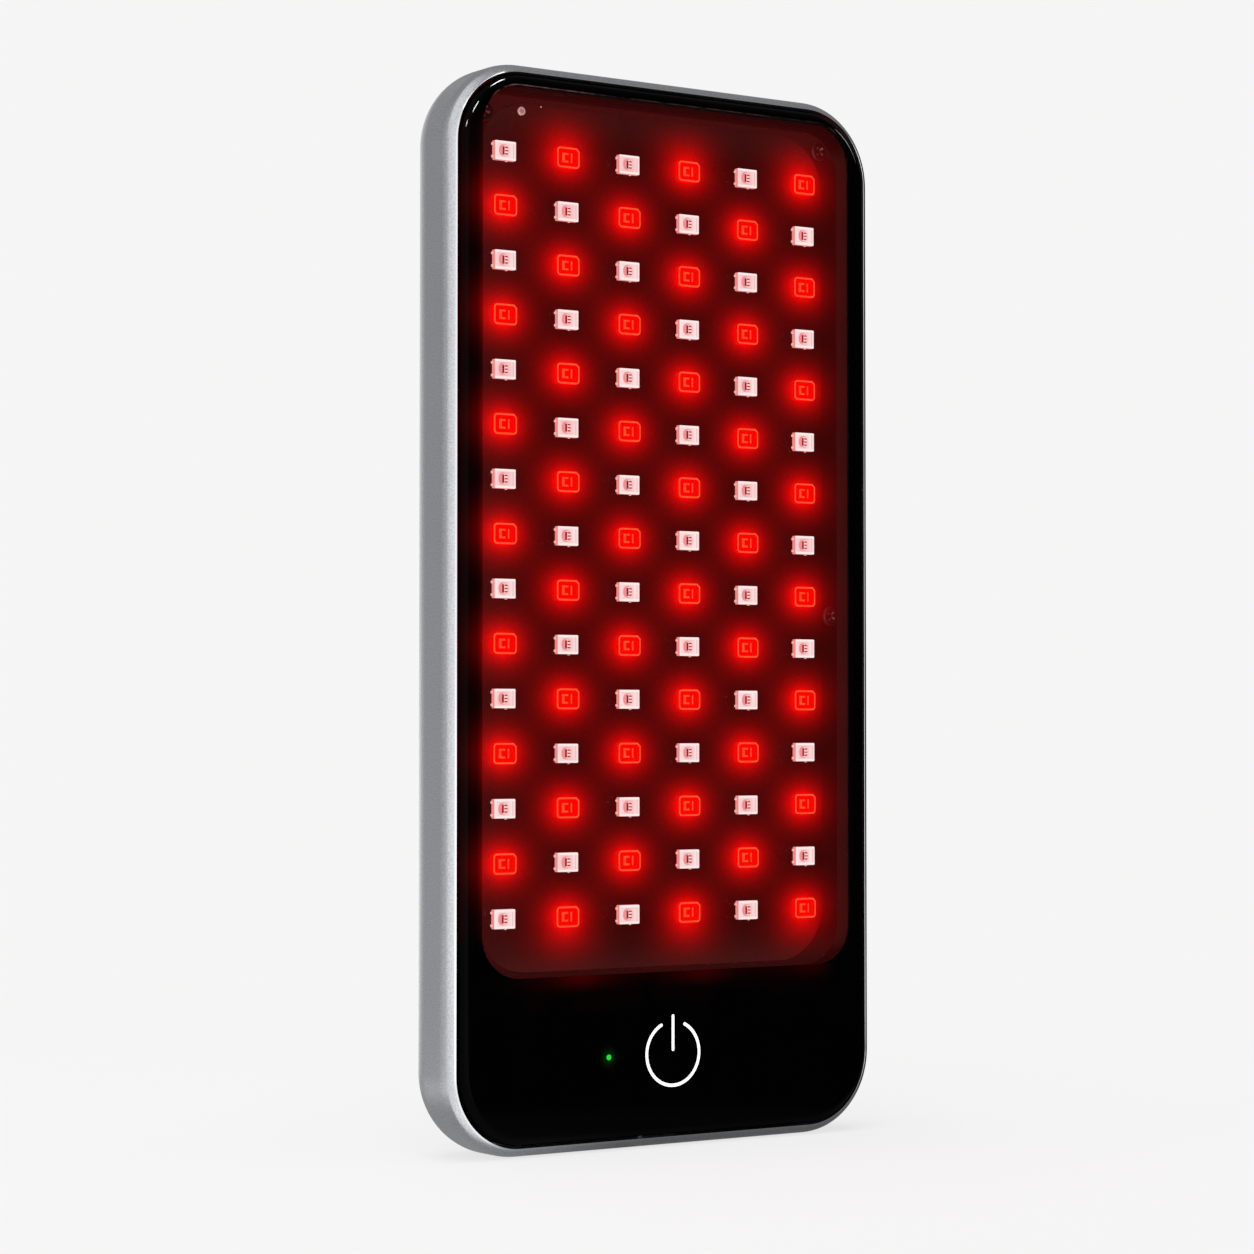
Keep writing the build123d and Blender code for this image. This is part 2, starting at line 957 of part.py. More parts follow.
def ribbon_socket():
    """The low socket that clamps the light board's ribbon."""
    socket_top = control_top - board_gap
    body = block(
        ribbon_width + 2 * ribbon_socket_wall,
        ribbon_socket_height,
        ribbon_offset,
        socket_top - ribbon_socket_height / 2,
        ribbon_front - ribbon_cover,
        control_front,
    )
    slot = block(
        ribbon_width + 2 * pane_fit,
        ribbon_socket_height,
        ribbon_offset,
        socket_top,
        ribbon_front - pane_fit,
        ribbon_back + pane_fit,
    )
    return body - slot


def light_ribbon():
    """The flat flexible lead from the light board's back to its socket."""
    top = board_bottom + ribbon_lap
    bottom = control_top - board_gap - ribbon_socket_height / 2 + pane_fit
    return block(
        ribbon_width, top - bottom, ribbon_offset, (top + bottom) / 2, ribbon_front, ribbon_back
    )


def thermistor():
    """The small heat sensor on the back of the light board."""
    return block(
        thermistor_length,
        thermistor_width,
        -ribbon_offset,
        board_bottom + ribbon_lap / 2,
        board_back,
        board_back + thermistor_thickness,
    )


red_cup = Rectangle(red_cup_width, red_cup_height)
infrared_cup = Rectangle(infrared_cup_width, infrared_cup_height)
pieces = {
    "rear_shell": rear_shell(),
    "mid_frame": mid_frame(),
    "front_pane": front_pane(),
    "black_bezel": black_bezel(),
    "power_symbol": power_symbol(),
    "indicator_lens": indicator_lens(),
    "pane_tape": pane_tape(),
    "frame_screws": frame_screws(),
    "light_board": light_board(),
    "locating_pin": locating_pin(),
    "red_lamps": lamps(red_places, red_lamp_width, red_lamp_height, red_cup),
    "infrared_lamps": lamps(
        infrared_places, infrared_lamp_width, infrared_lamp_height, infrared_cup
    ),
    "red_dies": dies(red_places),
    "infrared_dies": dies(infrared_places),
    "thermal_pad": thermal_pad(),
    "heat_spreader": heat_spreader(),
    "insulating_sheet": insulating_sheet(),
    "battery_cells": battery_cells(),
    "cell_tabs": cell_tabs(),
    "protection_board": protection_board(),
    "protection_chips": protection_chips(),
    "battery_foam": battery_foam(),
    "battery_leads": battery_leads(),
    "battery_socket": battery_socket(),
    "control_board": control_board(),
    "port_shell": port_shell(),
    "port_tongue": port_tongue(),
    "touch_foil": touch_foil(),
    "touch_contact": touch_contact(),
    "light_guide": light_guide(),
    "symbol_lamps": symbol_lamps(),
    "indicator_lamp": indicator_lamp(),
    "indicator_pipe": indicator_pipe(),
    "controller": controller(),
    "driver_chips": driver_chips(),
    "coils": coils(),
    "capacitors": capacitors(),
    "ribbon_socket": ribbon_socket(),
    "light_ribbon": light_ribbon(),
    "thermistor": thermistor(),
}

os.makedirs("parts", exist_ok=True)
for node, shape in pieces.items():
    export_step(shape, f"parts/{node}.step")
    print(node, round(shape.volume, 2))
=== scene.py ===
import math

import bmesh
import bpy
from mathutils import Matrix, Vector


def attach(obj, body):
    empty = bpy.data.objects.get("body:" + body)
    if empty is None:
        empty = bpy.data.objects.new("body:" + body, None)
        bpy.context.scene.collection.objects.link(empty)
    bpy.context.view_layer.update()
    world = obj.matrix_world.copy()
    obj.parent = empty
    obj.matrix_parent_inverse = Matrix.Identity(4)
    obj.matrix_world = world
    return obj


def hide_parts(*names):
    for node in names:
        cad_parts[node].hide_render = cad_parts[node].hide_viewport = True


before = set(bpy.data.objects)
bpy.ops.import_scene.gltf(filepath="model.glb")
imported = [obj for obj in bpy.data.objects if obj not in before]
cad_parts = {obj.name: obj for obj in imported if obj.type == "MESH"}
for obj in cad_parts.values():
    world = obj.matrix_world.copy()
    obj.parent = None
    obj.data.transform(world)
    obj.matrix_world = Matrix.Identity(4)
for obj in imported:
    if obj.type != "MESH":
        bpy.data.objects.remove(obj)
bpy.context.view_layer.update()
scene = bpy.context.scene
scene.view_settings.view_transform = "Standard"


# Camera
# A long lens stands to the panel's left, a little below its middle. It is level and turned 34 degrees.
lens = bpy.data.cameras.new("panel_camera")
lens.lens = 96.58
lens.sensor_width = 36.0
lens.clip_start = 0.01
lens.clip_end = 100.0
camera = bpy.data.objects.new("panel_camera", lens)
scene.collection.objects.link(camera)
look = Vector((0.5646, 0.8247, 0.03035)).normalized()
camera.rotation_mode = "QUATERNION"
camera.rotation_quaternion = look.to_track_quat("-Z", "Y")
camera.location = (-0.34531, -0.49832, 0.0740)
scene.camera = camera


# Studio
# The panel stands on a pale floor before a pale backdrop. A broad soft light stands behind the
# camera to its left and reaches high up. The room to its right is dark, so the gloss front shows black.
class Signal:
    """A shader socket that takes part in Python arithmetic by adding Math nodes."""

    def __init__(self, finish, socket):
        self.finish = finish
        self.socket = socket

    def math(self, operation, *values):
        return self.finish.node("ShaderNodeMath", {"operation": operation}, dict(enumerate(values)))

    def __add__(self, other):
        return self.math("ADD", self, other)

    def __sub__(self, other):
        return self.math("SUBTRACT", self, other)

    def __mul__(self, other):
        return self.math("MULTIPLY", self, other)

    def __truediv__(self, other):
        return self.math("DIVIDE", self, other)

    def __pow__(self, other):
        return self.math("POWER", self, other)

    def __rpow__(self, other):
        return self.math("POWER", other, self)

    def __radd__(self, other):
        return self.math("ADD", other, self)

    def __rsub__(self, other):
        return self.math("SUBTRACT", other, self)

    def __rmul__(self, other):
        return self.math("MULTIPLY", other, self)

    def __abs__(self):
        return self.math("ABSOLUTE", self)

    def held(self, low, high):
        return self.math("MAXIMUM", self.math("MINIMUM", self, high), low)

    def rising(self, low, high):
        """0 below low, 1 above high, and a soft step between."""
        settings = {"interpolation_type": "SMOOTHSTEP", "clamp": True}
        return self.finish.node("ShaderNodeMapRange", settings, {0: self, 1: low, 2: high})


class Finish:
    """The node tree of one material, or of the studio's surroundings."""

    def __init__(self, owner):
        owner.use_nodes = True
        self.owner = owner
        self.tree = owner.node_tree
        self.tree.nodes.clear()

    def node(self, kind, settings, sockets, output=0):
        made = self.tree.nodes.new(kind)
        for key, value in settings.items():
            if key == "stops":
                while len(made.color_ramp.elements) < len(value):
                    made.color_ramp.elements.new(1.0)
                for element, (place, level) in zip(made.color_ramp.elements, value):
                    element.position = place
                    element.color = (level, level, level, 1.0)
            else:
                setattr(made, key, value)
        for key, value in sockets.items():
            if isinstance(value, Signal):
                self.tree.links.new(value.socket, made.inputs[key])
            else:
                made.inputs[key].default_value = value
        return Signal(self, made.outputs[output])

    def place(self):
        """Where a point of the piece is, in millimetres."""
        metres = self.node("ShaderNodeTexCoord", {}, {}, "Object")
        return self.node("ShaderNodeVectorMath", {"operation": "SCALE"}, {0: metres, "Scale": 1000.0})

    def parts(self, vector, axes="XYZ"):
        return [self.node("ShaderNodeSeparateXYZ", {}, {0: vector}, axis) for axis in axes]

    def joined(self, x, y, z):
        return self.node("ShaderNodeCombineXYZ", {}, {0: x, 1: y, 2: z})

    def grain(self, size, detail=2.0, stretch=(1.0, 1.0, 1.0)):
        """Even noise from 0 to 1, with lumps of about this size in millimetres."""
        spread = {"operation": "MULTIPLY"}
        vector = self.node("ShaderNodeVectorMath", spread, {0: self.place(), 1: stretch})
        return self.node("ShaderNodeTexNoise", {}, {"Vector": vector, "Scale": 1.0 / size, "Detail": detail})

    def blended(self, first, second, share):
        """One colour turning into another."""
        return self.node("ShaderNodeMix", {"data_type": "RGBA"}, {0: share, 6: first, 7: second}, 2)

    def bump(self, height, strength, depth):
        """Small relief. The depth is in millimetres."""
        sockets = {"Height": height, "Strength": strength, "Distance": depth / 1000}
        return self.node("ShaderNodeBump", {}, sockets)

    def surface(self, **sockets):
        """The usual shader, with its sockets' names in lower case, set as the material's surface."""
        names = {"specular": "Specular IOR Level", "coat": "Coat Weight", "ior": "IOR"}
        named = {names.get(key, key.replace("_", " ").title()): value for key, value in sockets.items()}
        self.show(self.node("ShaderNodeBsdfPrincipled", {}, named))

    def show(self, shader):
        kind = "World" if isinstance(self.owner, bpy.types.World) else "Material"
        end = self.tree.nodes.new("ShaderNodeOutput" + kind)
        self.tree.links.new(shader.socket, end.inputs["Surface"])


def rgb(red, green, blue):
    return (red, green, blue, 1.0)


backdrop_grey = rgb(0.922, 0.914, 0.914)
scene.world = bpy.data.worlds.new("studio")
air = Finish(scene.world)
right, ahead, up = air.parts(air.node("ShaderNodeTexCoord", {}, {}, "Generated"))
# Each pair is the share of a full turn to the left, and the brightness there.
room_levels = [
    (0.0, 0.03),
    (0.03, 0.20),
    (0.055, 1.20),
    (0.11, 0.64),
    (0.17, 0.32),
    (0.20, 0.26),
    (0.23, 0.34),
    (0.26, 0.44),
    (0.31, 0.58),
    (0.42, 0.78),
    (0.47, 1.08),
    (0.51, 1.28),
    (0.56, 1.25),
    (0.60, 0.0),
    (0.95, 0.0),
    (1.0, 0.03),
]
ceiling_level = 0.22
left_ceiling_gain = 0.10
high_window_gain = 0.70
underside_level = 0.20


def from_camera(right, ahead):
    """How far a place or direction lies onward from the camera, and how far to its left."""
    return right * look.x + ahead * look.y, ahead * look.x - right * look.y


def room_level(onward, leftward):
    """How bright the room is in a level direction, from behind the panel round by the left."""
    turn = onward.math("ARCTAN2", leftward, onward)
    turn = turn.math("FRACT", turn / (2 * math.pi) + 1.0)
    return turn.finish.node("ShaderNodeValToRGB", {"stops": room_levels}, {0: turn})


onward, leftward = from_camera(right, ahead)
above = up.rising(0.12, 0.62)
below = (0.0 - up).rising(0.10, 0.60)
high_window = (0.0 - onward).rising(-0.10, 0.35) * leftward.rising(-0.22, 0.05) * high_window_gain
ceiling = ceiling_level + leftward.rising(-0.80, -0.10) * left_ceiling_gain + high_window
level = room_level(onward, leftward) * (1.0 - above) + above * ceiling
level = level * (1.0 - below) + below * underside_level
seen = air.node("ShaderNodeLightPath", {}, {}, "Is Camera Ray")
room = air.node("ShaderNodeBackground", {}, {0: air.joined(level, level, level), 1: 1.0})
backdrop = air.node("ShaderNodeBackground", {}, {0: backdrop_grey, 1: 1.0})
air.show(air.node("ShaderNodeMixShader", {}, {0: seen, 1: room, 2: backdrop}))


def area_light(name, width, height, power):
    """A rectangular light that is still to be hung."""
    light = bpy.data.lights.new(name, "AREA")
    light.shape = "RECTANGLE"
    light.size = width
    light.size_y = height
    light.energy = power
    holder = bpy.data.objects.new(name, light)
    scene.collection.objects.link(holder)
    return holder


top_light = area_light("top_light", 1.4, 1.4, 19.0)
top_light.location = (-0.2, -0.1, 1.6)
top_light.rotation_mode = "QUATERNION"
top_light.rotation_quaternion = (-top_light.location).to_track_quat("-Z", "Y")
top_light.visible_glossy = False

floor_size = 20.0
floor_gloss_gain = 1.36
ground = bmesh.new()
bmesh.ops.create_grid(ground, x_segments=1, y_segments=1, size=floor_size)
ground_mesh = bpy.data.meshes.new("floor")
ground.to_mesh(ground_mesh)
ground.free()
floor = bpy.data.objects.new("floor", ground_mesh)
scene.collection.objects.link(floor)
paper = Finish(bpy.data.materials.new("floor_paper"))
right, ahead = paper.parts(paper.place(), "XY")
reach = paper.node("ShaderNodeVectorMath", {"operation": "LENGTH"}, {0: paper.place()}, 1)
tone = paper.blended(rgb(0.90, 0.895, 0.895), backdrop_grey, paper.grain(1.5))
lit = paper.node("ShaderNodeBsdfDiffuse", {}, {"Color": tone})
shown = paper.node("ShaderNodeEmission", {}, {"Color": backdrop_grey, "Strength": 1.0})
near = 1.0 - reach.rising(50.0, 80.0)
# In glossy rays the floor gives off a painted brightness: the room's level by place, with a painted shadow
# under the panel that deepens to its right.
painted_shadow_beneath = (1.20 - ahead.rising(-9.5, -7.5) * 0.86) * (1.0 - right.rising(-45.0, 0.0) * 0.65)
level = near * painted_shadow_beneath + (1.0 - near) * room_level(*from_camera(right, ahead)) * floor_gloss_gain
mirrored = paper.node("ShaderNodeEmission", {}, {"Color": paper.joined(level, level, level), "Strength": 1.0})
in_gloss = paper.node("ShaderNodeLightPath", {}, {}, "Is Glossy Ray")
evened_out = 0.80 + reach.rising(60.0, 420.0) * 0.20
paper_shown = paper.node("ShaderNodeMixShader", {}, {0: evened_out, 1: lit, 2: shown})
paper.show(paper.node("ShaderNodeMixShader", {}, {0: in_gloss, 1: paper_shown, 2: mirrored}))
ground_mesh.materials.append(paper.owner)


# Aluminium shell
# A tray cut from solid aluminium, blasted with fine beads and anodised silver. Its front edge rolls
# in softly to a narrow band that is cut bright, and the charging port's hole is milled in the bottom.
body_width = 92.0
body_height = 190.0
body_back = 8.4
body_corner = 14.75
back_round = 8.0
side_front = -4.09
side_round = 6.0
side_turn = 18.0
lip_round = 1.2
lip_turn = 42.0
crown_round = 5.0
crown_turn = 58.0
bright_width = 0.16
mouth_drop = 0.03
mouth_inset = 1.66
ledge_front = -1.45
cavity_inset = 3.1
cavity_floor = 6.9
cavity_chamfer = 3.4
port_middle = -2.275
port_hole_width = 9.34
port_hole_height = 3.66
port_hole_round = 1.45
port_flare = 0.3


def box(width, depth, height, x, y, z):
    """A box from its three sizes and its middle, in millimetres."""
    made = bmesh.new()
    bmesh.ops.create_cube(made, size=1.0)
    bmesh.ops.scale(made, vec=(width, depth, height), verts=made.verts)
    bmesh.ops.translate(made, vec=(x, y, z), verts=made.verts)
    return made


def eased(made, wanted, radius, segments):
    """Rounds the edges for which wanted is true."""
    bmesh.ops.bevel(
        made,
        geom=[edge for edge in made.edges if wanted(edge)],
        offset=radius,
        offset_type="OFFSET",
        segments=segments,
        profile=0.5,
        affect="EDGES",
        clamp_overlap=False,
        material=-1,
    )


def runs_along(axis):
    """Picks the edges that run along this axis."""

    def picked(edge):
        way = edge.verts[1].co - edge.verts[0].co
        return abs(way[axis]) > 0.999 * way.length

    return picked


def rounded(width, height, corner, steps):
    """Points round a rectangle with round corners."""
    points = []
    for quarter, (sx, sz) in enumerate(((1, 1), (-1, 1), (-1, -1), (1, -1))):
        for step in range(steps + 1):
            angle = (quarter + step / steps) * math.pi / 2
            points.append(
                (
                    sx * (width / 2 - corner) + corner * math.cos(angle),
                    sz * (height / 2 - corner) + corner * math.sin(angle),
                )
            )
    return points


def lofted(sections, x=0.0, z=0.0):
    """A closed solid through outlines that have equally many points, each at its depth."""
    made = bmesh.new()
    rings = [[made.verts.new((x + px, y, z + pz)) for px, pz in points] for y, points in sections]
    for near, far in zip(rings, rings[1:]):
        for index in range(len(near)):
            made.faces.new((near[index - 1], near[index], far[index], far[index - 1]))
    made.faces.new(list(reversed(rings[0])))
    made.faces.new(rings[-1])
    bmesh.ops.recalc_face_normals(made, faces=made.faces)
    return made


def carved(made, cutter):
    """Cuts one closed mesh with another."""
    holders = []
    for part in (made, cutter):
        mesh = bpy.data.meshes.new("blank")
        part.to_mesh(mesh)
        part.free()
        holder = bpy.data.objects.new("blank", mesh)
        scene.collection.objects.link(holder)
        holders.append(holder)
    cutting = holders[0].modifiers.new("cutting", "BOOLEAN")
    cutting.object = holders[1]
    cutting.solver = "EXACT"
    bpy.context.view_layer.update()
    left = bmesh.new()
    left.from_object(holders[0], bpy.context.evaluated_depsgraph_get())
    for holder in holders:
        bpy.data.objects.remove(holder)
    return left


def piece(name, made, finishes, replaces, sharp=35.0):
    """Turns mesh work in millimetres into a named piece that rides on the panel."""
    bmesh.ops.scale(made, vec=(0.001, 0.001, 0.001), verts=made.verts)
    mesh = bpy.data.meshes.new(name)
    made.to_mesh(mesh)
    made.free()
    for finish in finishes:
        mesh.materials.append(finish.owner)
    mesh.shade_smooth()
    mesh.set_sharp_from_angle(angle=math.radians(sharp))
    whole = bpy.data.objects.new(name, mesh)
    scene.collection.objects.link(whole)
    evened = whole.modifiers.new("evened", "WEIGHTED_NORMAL")
    evened.keep_sharp = True
    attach(whole, "root")
    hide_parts(*replaces)
    return whole


def rolled(y, inward, radius, start, stop, steps):
    """Points of a profile that turns from one angle to another, from this depth and inset."""
    first = math.radians(start)
    angles = [math.radians(start + (stop - start) * step / steps) for step in range(steps + 1)]
    front = y + radius * math.sin(first)
    middle = inward + radius * math.cos(first)
    return [
        (front - radius * math.sin(angle), middle - radius * math.cos(angle))
        for angle in angles
    ]


lip = rolled(side_front, 0.0, side_round, 0.0, side_turn, 6)
lip += rolled(*lip[-1], lip_round, side_turn, lip_turn, 5)[1:]
lip += rolled(*lip[-1], crown_round, lip_turn, crown_turn, 6)[1:]
lip_front = lip[-1][0]
aluminium = Finish(bpy.data.materials.new("blasted_aluminium"))
(y,) = aluminium.parts(aluminium.place(), "Y")
beads = aluminium.grain(0.25, 3.0)
cloud = aluminium.grain(16.0, 3.0)
bright_cut = 1.0 - y.rising(lip_front + bright_width, lip_front + bright_width + 0.03)
mottle = beads.rising(0.30, 0.70) * 0.75 + cloud * 0.25
metal = aluminium.blended(rgb(0.47, 0.478, 0.503), rgb(0.71, 0.722, 0.752), mottle)
aluminium.surface(
    base_color=aluminium.blended(metal, rgb(0.74, 0.75, 0.77), bright_cut),
    metallic=1.0,
    roughness=0.30 + beads * 0.08 - bright_cut * 0.23,
    normal=aluminium.bump(beads * (1.0 - bright_cut), 0.3, 0.05),
)

profile = [(cavity_floor, cavity_inset + cavity_chamfer), (cavity_floor - cavity_chamfer, cavity_inset)]
profile += [(ledge_front, cavity_inset), (ledge_front, mouth_inset)]
profile.append((lip_front + mouth_drop, mouth_inset))
profile += lip[::-1]
back_steps = 16
for step in range(back_steps + 1):
    angle = math.radians(90 * step / back_steps)
    profile.append((body_back - back_round * (1 - math.sin(angle)), back_round * (1 - math.cos(angle))))
shell = lofted(
    [
        (y, rounded(body_width - 2 * inward, body_height - 2 * inward, body_corner - inward, 24))
        for y, inward in profile
    ],
    0,
    body_height / 2,
)
drill = box(port_hole_width, port_hole_height, 6.0, 0, port_middle, 3.0 - port_flare)
eased(drill, runs_along(2), port_hole_round, 8)
shell = carved(shell, drill)
flare_width = port_hole_width + 4 * port_flare
flare_height = port_hole_height + 4 * port_flare
flare = box(flare_width, flare_height, 2 * port_flare, 0, port_middle, 0)
eased(flare, runs_along(2), port_hole_round + 2 * port_flare, 8)
for vert in flare.verts:
    if vert.co.z > 0:
        vert.co.x *= port_hole_width / flare_width
        vert.co.y = port_middle + (vert.co.y - port_middle) * port_hole_height / flare_height
shell = carved(shell, flare)
shown_shell = piece("shell", shell, [aluminium], ["rear_shell"], 28.0)


# Light board and pin
# An aluminium-cored board under a dark, slightly milky solder mask carries ninety lamps in fifteen rows
# of six, red and near-infrared by turns. The red light that spreads on it and fades in a few millimetres
# is painted glow that the mask gives off.
# The plated pin that is riveted into it shows as a pale ringed dot near the top left corner.
column_pitch = 13.1
row_pitch = 9.56
first_column = -32.75
top_row = 174.92
bottom_row = 41.08
glow_reach = 1.72
glow_width = 1.21
lamp_half_height = 1.9


def red_light(x, z):
    """How much red light reaches a place on the board: 1 at a red lamp's edge."""
    light = 0.0
    for column, row, columns, rows in ((1, 0, 3, 8), (0, 1, 3, 7)):
        from_left = x - (first_column + column * column_pitch)
        from_top = (top_row - row * row_pitch) - z
        nearest_column = x.math("ROUND", from_left / (2 * column_pitch)).held(0, columns - 1)
        nearest_row = z.math("ROUND", from_top / (2 * row_pitch)).held(0, rows - 1)
        across = (from_left - nearest_column * (2 * column_pitch)) / glow_width
        down = from_top - nearest_row * (2 * row_pitch)
        beyond = (across * across + down * down) ** 0.5 - lamp_half_height
        light = light + math.exp(-1.0 / glow_reach) ** beyond.math("MAXIMUM", beyond, 0.0)
    return light


def dressed(node, finish):
    """Gives a piece of the construction its finish."""
    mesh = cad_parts[node].data
    mesh.materials.clear()
    mesh.materials.append(finish.owner)


mask = Finish(bpy.data.materials.new("board_mask"))
x, z = mask.parts(mask.place(), "XZ")
fine = mask.grain(0.35, 2.0)
wide = mask.grain(26.0, 2.0)
light = red_light(x, z)
# Dust specks on the mask, drawn pale by painted light that they give off, with two larger ones near the top
# left.
specks = mask.node("ShaderNodeTexVoronoi", {}, {"Vector": mask.place(), "Scale": 0.16, "Randomness": 1.0})
dust_speck_glow = (1.0 - specks.rising(0.012, 0.028)) * mask.grain(9.0).rising(0.5, 0.75)
haze = 0.80 + fine * 0.40
outside = z.rising(top_row + 1.0, top_row + 8.0) + 1.0 - z.rising(bottom_row - 8.0, bottom_row - 1.0)
painted_haze = outside * 0.0028 + (x * -1.0).rising(24.0, 38.0) * 0.0022 + (1.0 - z.rising(31.6, 35.5)) * 0.003
for dust_x, dust_z in ((-24.8, 183.53), (-35.6, 181.35)):
    from_dust = ((x - dust_x) ** 2.0 + (z - dust_z) ** 2.0) ** 0.5
    dust_speck_glow = dust_speck_glow + (1.0 - from_dust.rising(0.10, 0.17)) * 6.0
# The mask gives off painted light: the red glow of the lamps, stronger beyond the lamp field, an even painted
# red, and a painted pale haze towards its ends, its left and its foot.
red = (light * (0.92 + outside * 1.15) + 0.026 + wide * 0.022 + painted_haze * 2.5) * haze + dust_speck_glow * 0.10
grey = (0.0006 + wide * 0.0016 + painted_haze) * haze + dust_speck_glow * 0.06
mask.surface(
    base_color=mask.blended(rgb(0.0020, 0.0006, 0.0006), rgb(0.006, 0.0018, 0.0018), fine),
    roughness=0.5,
    specular=0.01,
    emission_color=mask.joined(red, grey, grey * 0.92),
    emission_strength=1.0,
    normal=mask.bump(fine, 0.2, 0.01),
)
dressed("light_board", mask)

pin_x = -28.86
pin_z = 182.4
pin_radius = 0.74
pin_front = -3.5
pin_foot = -1.45
plated = Finish(bpy.data.materials.new("plated_pin"))
x, z = plated.parts(plated.place(), "XZ")
# The pin gives off painted light: a dim red centre in the lamps' glow and a lighter ring as a painted
# highlight.
off_middle = ((x - pin_x) ** 2.0 + (z - pin_z) ** 2.0) ** 0.5
rim = off_middle.rising(0.36, 0.46)
shade = plated.grain(0.3)
dull = plated.blended(rgb(0.13, 0.045, 0.045), rgb(0.22, 0.08, 0.08), shade)
plated.surface(
    base_color=plated.blended(rgb(0.55, 0.30, 0.30), rgb(0.80, 0.50, 0.48), shade),
    metallic=0.6,
    roughness=0.35,
    emission_color=plated.blended(dull, rgb(0.42, 0.22, 0.22), rim * 0.8),
    emission_strength=1.0,
)


def lies_at(axis, place):
    """Picks the edges or faces that lie at this place on an axis."""
    return lambda item: all(abs(vert.co[axis] - place) < 0.001 for vert in item.verts)


def front_face(made, y):
    """The largest face at this depth that faces front."""
    faces = [face for face in made.faces if lies_at(1, y)(face) and face.normal.y < -0.9]
    return max(faces, key=lambda face: face.calc_area())


def inset(made, y, width, depth=0.0):
    """Draws the largest front face at this depth in from its edge."""
    bmesh.ops.inset_region(
        made, faces=[front_face(made, y)], thickness=width, depth=-depth, use_even_offset=True
    )


faces_front = Matrix.Rotation(math.radians(90), 4, "X")
pin = bmesh.new()
bmesh.ops.create_cone(
    pin,
    cap_ends=True,
    segments=32,
    radius1=pin_radius,
    radius2=pin_radius,
    depth=pin_foot - pin_front,
    matrix=Matrix.Translation((pin_x, (pin_front + pin_foot) / 2, pin_z)) @ faces_front,
)
eased(pin, lies_at(1, pin_front), 0.12, 3)
inset(pin, pin_front, 0.28)
inset(pin, pin_front, 0.05, 0.10)
piece("pin_head", pin, [plated], ["locating_pin"])


# Black frame and tape
# A frame moulded in satin black plastic. The red light on its walls and floor round the board is painted
# glow that it gives off.
# Double-sided foam tape on it holds the front.
frame_floor = -3.06
glow_side = 41.3
glow_foot = 29.5
glow_head = 187.3
satin = Finish(bpy.data.materials.new("frame_plastic"))
x, y, z = satin.parts(satin.place())
light = red_light(x, z)
texture = satin.grain(0.25, 2.0)
# Painted shade and light: the walls are darker towards the front, lighter and greyer at the sides, the floor
# lighter at the ends, and all of it darker at the foot of the window.
wall = 1.0 - y.rising(frame_floor - 0.14, frame_floor)
sideways = abs(x).rising(39.0, 40.8)
near_floor = y.rising(-6.2, -3.1)
at_ends = abs(z - (top_row + bottom_row) / 2).rising(70.0, 76.0)
painted_shade_at_foot = 1.0 - z.rising(31.0, 35.0)
floor_red = (light * 0.80 + 0.040 + at_ends * 0.012) * (1.0 - painted_shade_at_foot * 0.40)
wall_red = (light * 0.24 + 0.034 + sideways * 0.012) * (0.75 + near_floor * 0.35)
red = (floor_red * (1.0 - wall) + wall_red * wall * (1.0 - painted_shade_at_foot * 0.35)) * (0.9 + texture * 0.2)
grey = 0.0006 + wall * sideways * 0.0034 + (1.0 - wall) * at_ends * 0.0026
in_window = (1.0 - abs(x).rising(glow_side, glow_side + 0.2)) * z.rising(glow_foot, glow_foot + 0.3)
in_window = in_window * (1.0 - z.rising(glow_head - 0.3, glow_head))
satin.surface(
    base_color=satin.blended(rgb(0.0020, 0.0014, 0.0014), rgb(0.0048, 0.0036, 0.0036), texture),
    roughness=0.45,
    specular=0.04,
    emission_color=satin.joined(red * in_window, grey * in_window, grey * in_window * 0.95),
    emission_strength=1.0,
    normal=satin.bump(texture, 0.3, 0.01),
)
dressed("mid_frame", satin)


def mottled(name, first, second, size, relief, stretch=(1.0, 1.0, 1.0), **sockets):
    """A finish whose colour and surface vary at one scale, with relief in millimetres."""
    finish = Finish(bpy.data.materials.new(name))
    patches = finish.grain(size, 3.0, stretch)
    finish.surface(
        base_color=finish.blended(rgb(*first), rgb(*second), patches.rising(0.3, 0.7)),
        normal=finish.bump(patches, 0.5, relief),
        **sockets,
    )
    return finish


tape = mottled(
    "black_tape", (0.004, 0.004, 0.004), (0.014, 0.012, 0.012), 0.2, 0.02, roughness=0.7, specular=0.1
)
dressed("pane_tape", tape)


# Heat path
# A grey silicone pad presses the light board onto a plain aluminium plate. The plate lies on the
# frame's back, spreads the lamps' heat into the shell, and a clear polyester film keeps the cells off it.
silicone = mottled(
    "grey_silicone", (0.20, 0.21, 0.22), (0.30, 0.31, 0.32), 0.8, 0.03, roughness=0.75, specular=0.2
)
dressed("thermal_pad", silicone)
rolled_plate = mottled(
    "plain_aluminium",
    (0.58, 0.59, 0.60),
    (0.72, 0.73, 0.74),
    0.5,
    0.01,
    (1.0, 1.0, 0.04),
    metallic=1.0,
    roughness=0.38,
)
dressed("heat_spreader", rolled_plate)
film = mottled(
    "clear_film", (0.74, 0.76, 0.78), (0.82, 0.84, 0.86), 6.0, 0.01, roughness=0.2, transmission_weight=0.7
)
dressed("insulating_sheet", film)


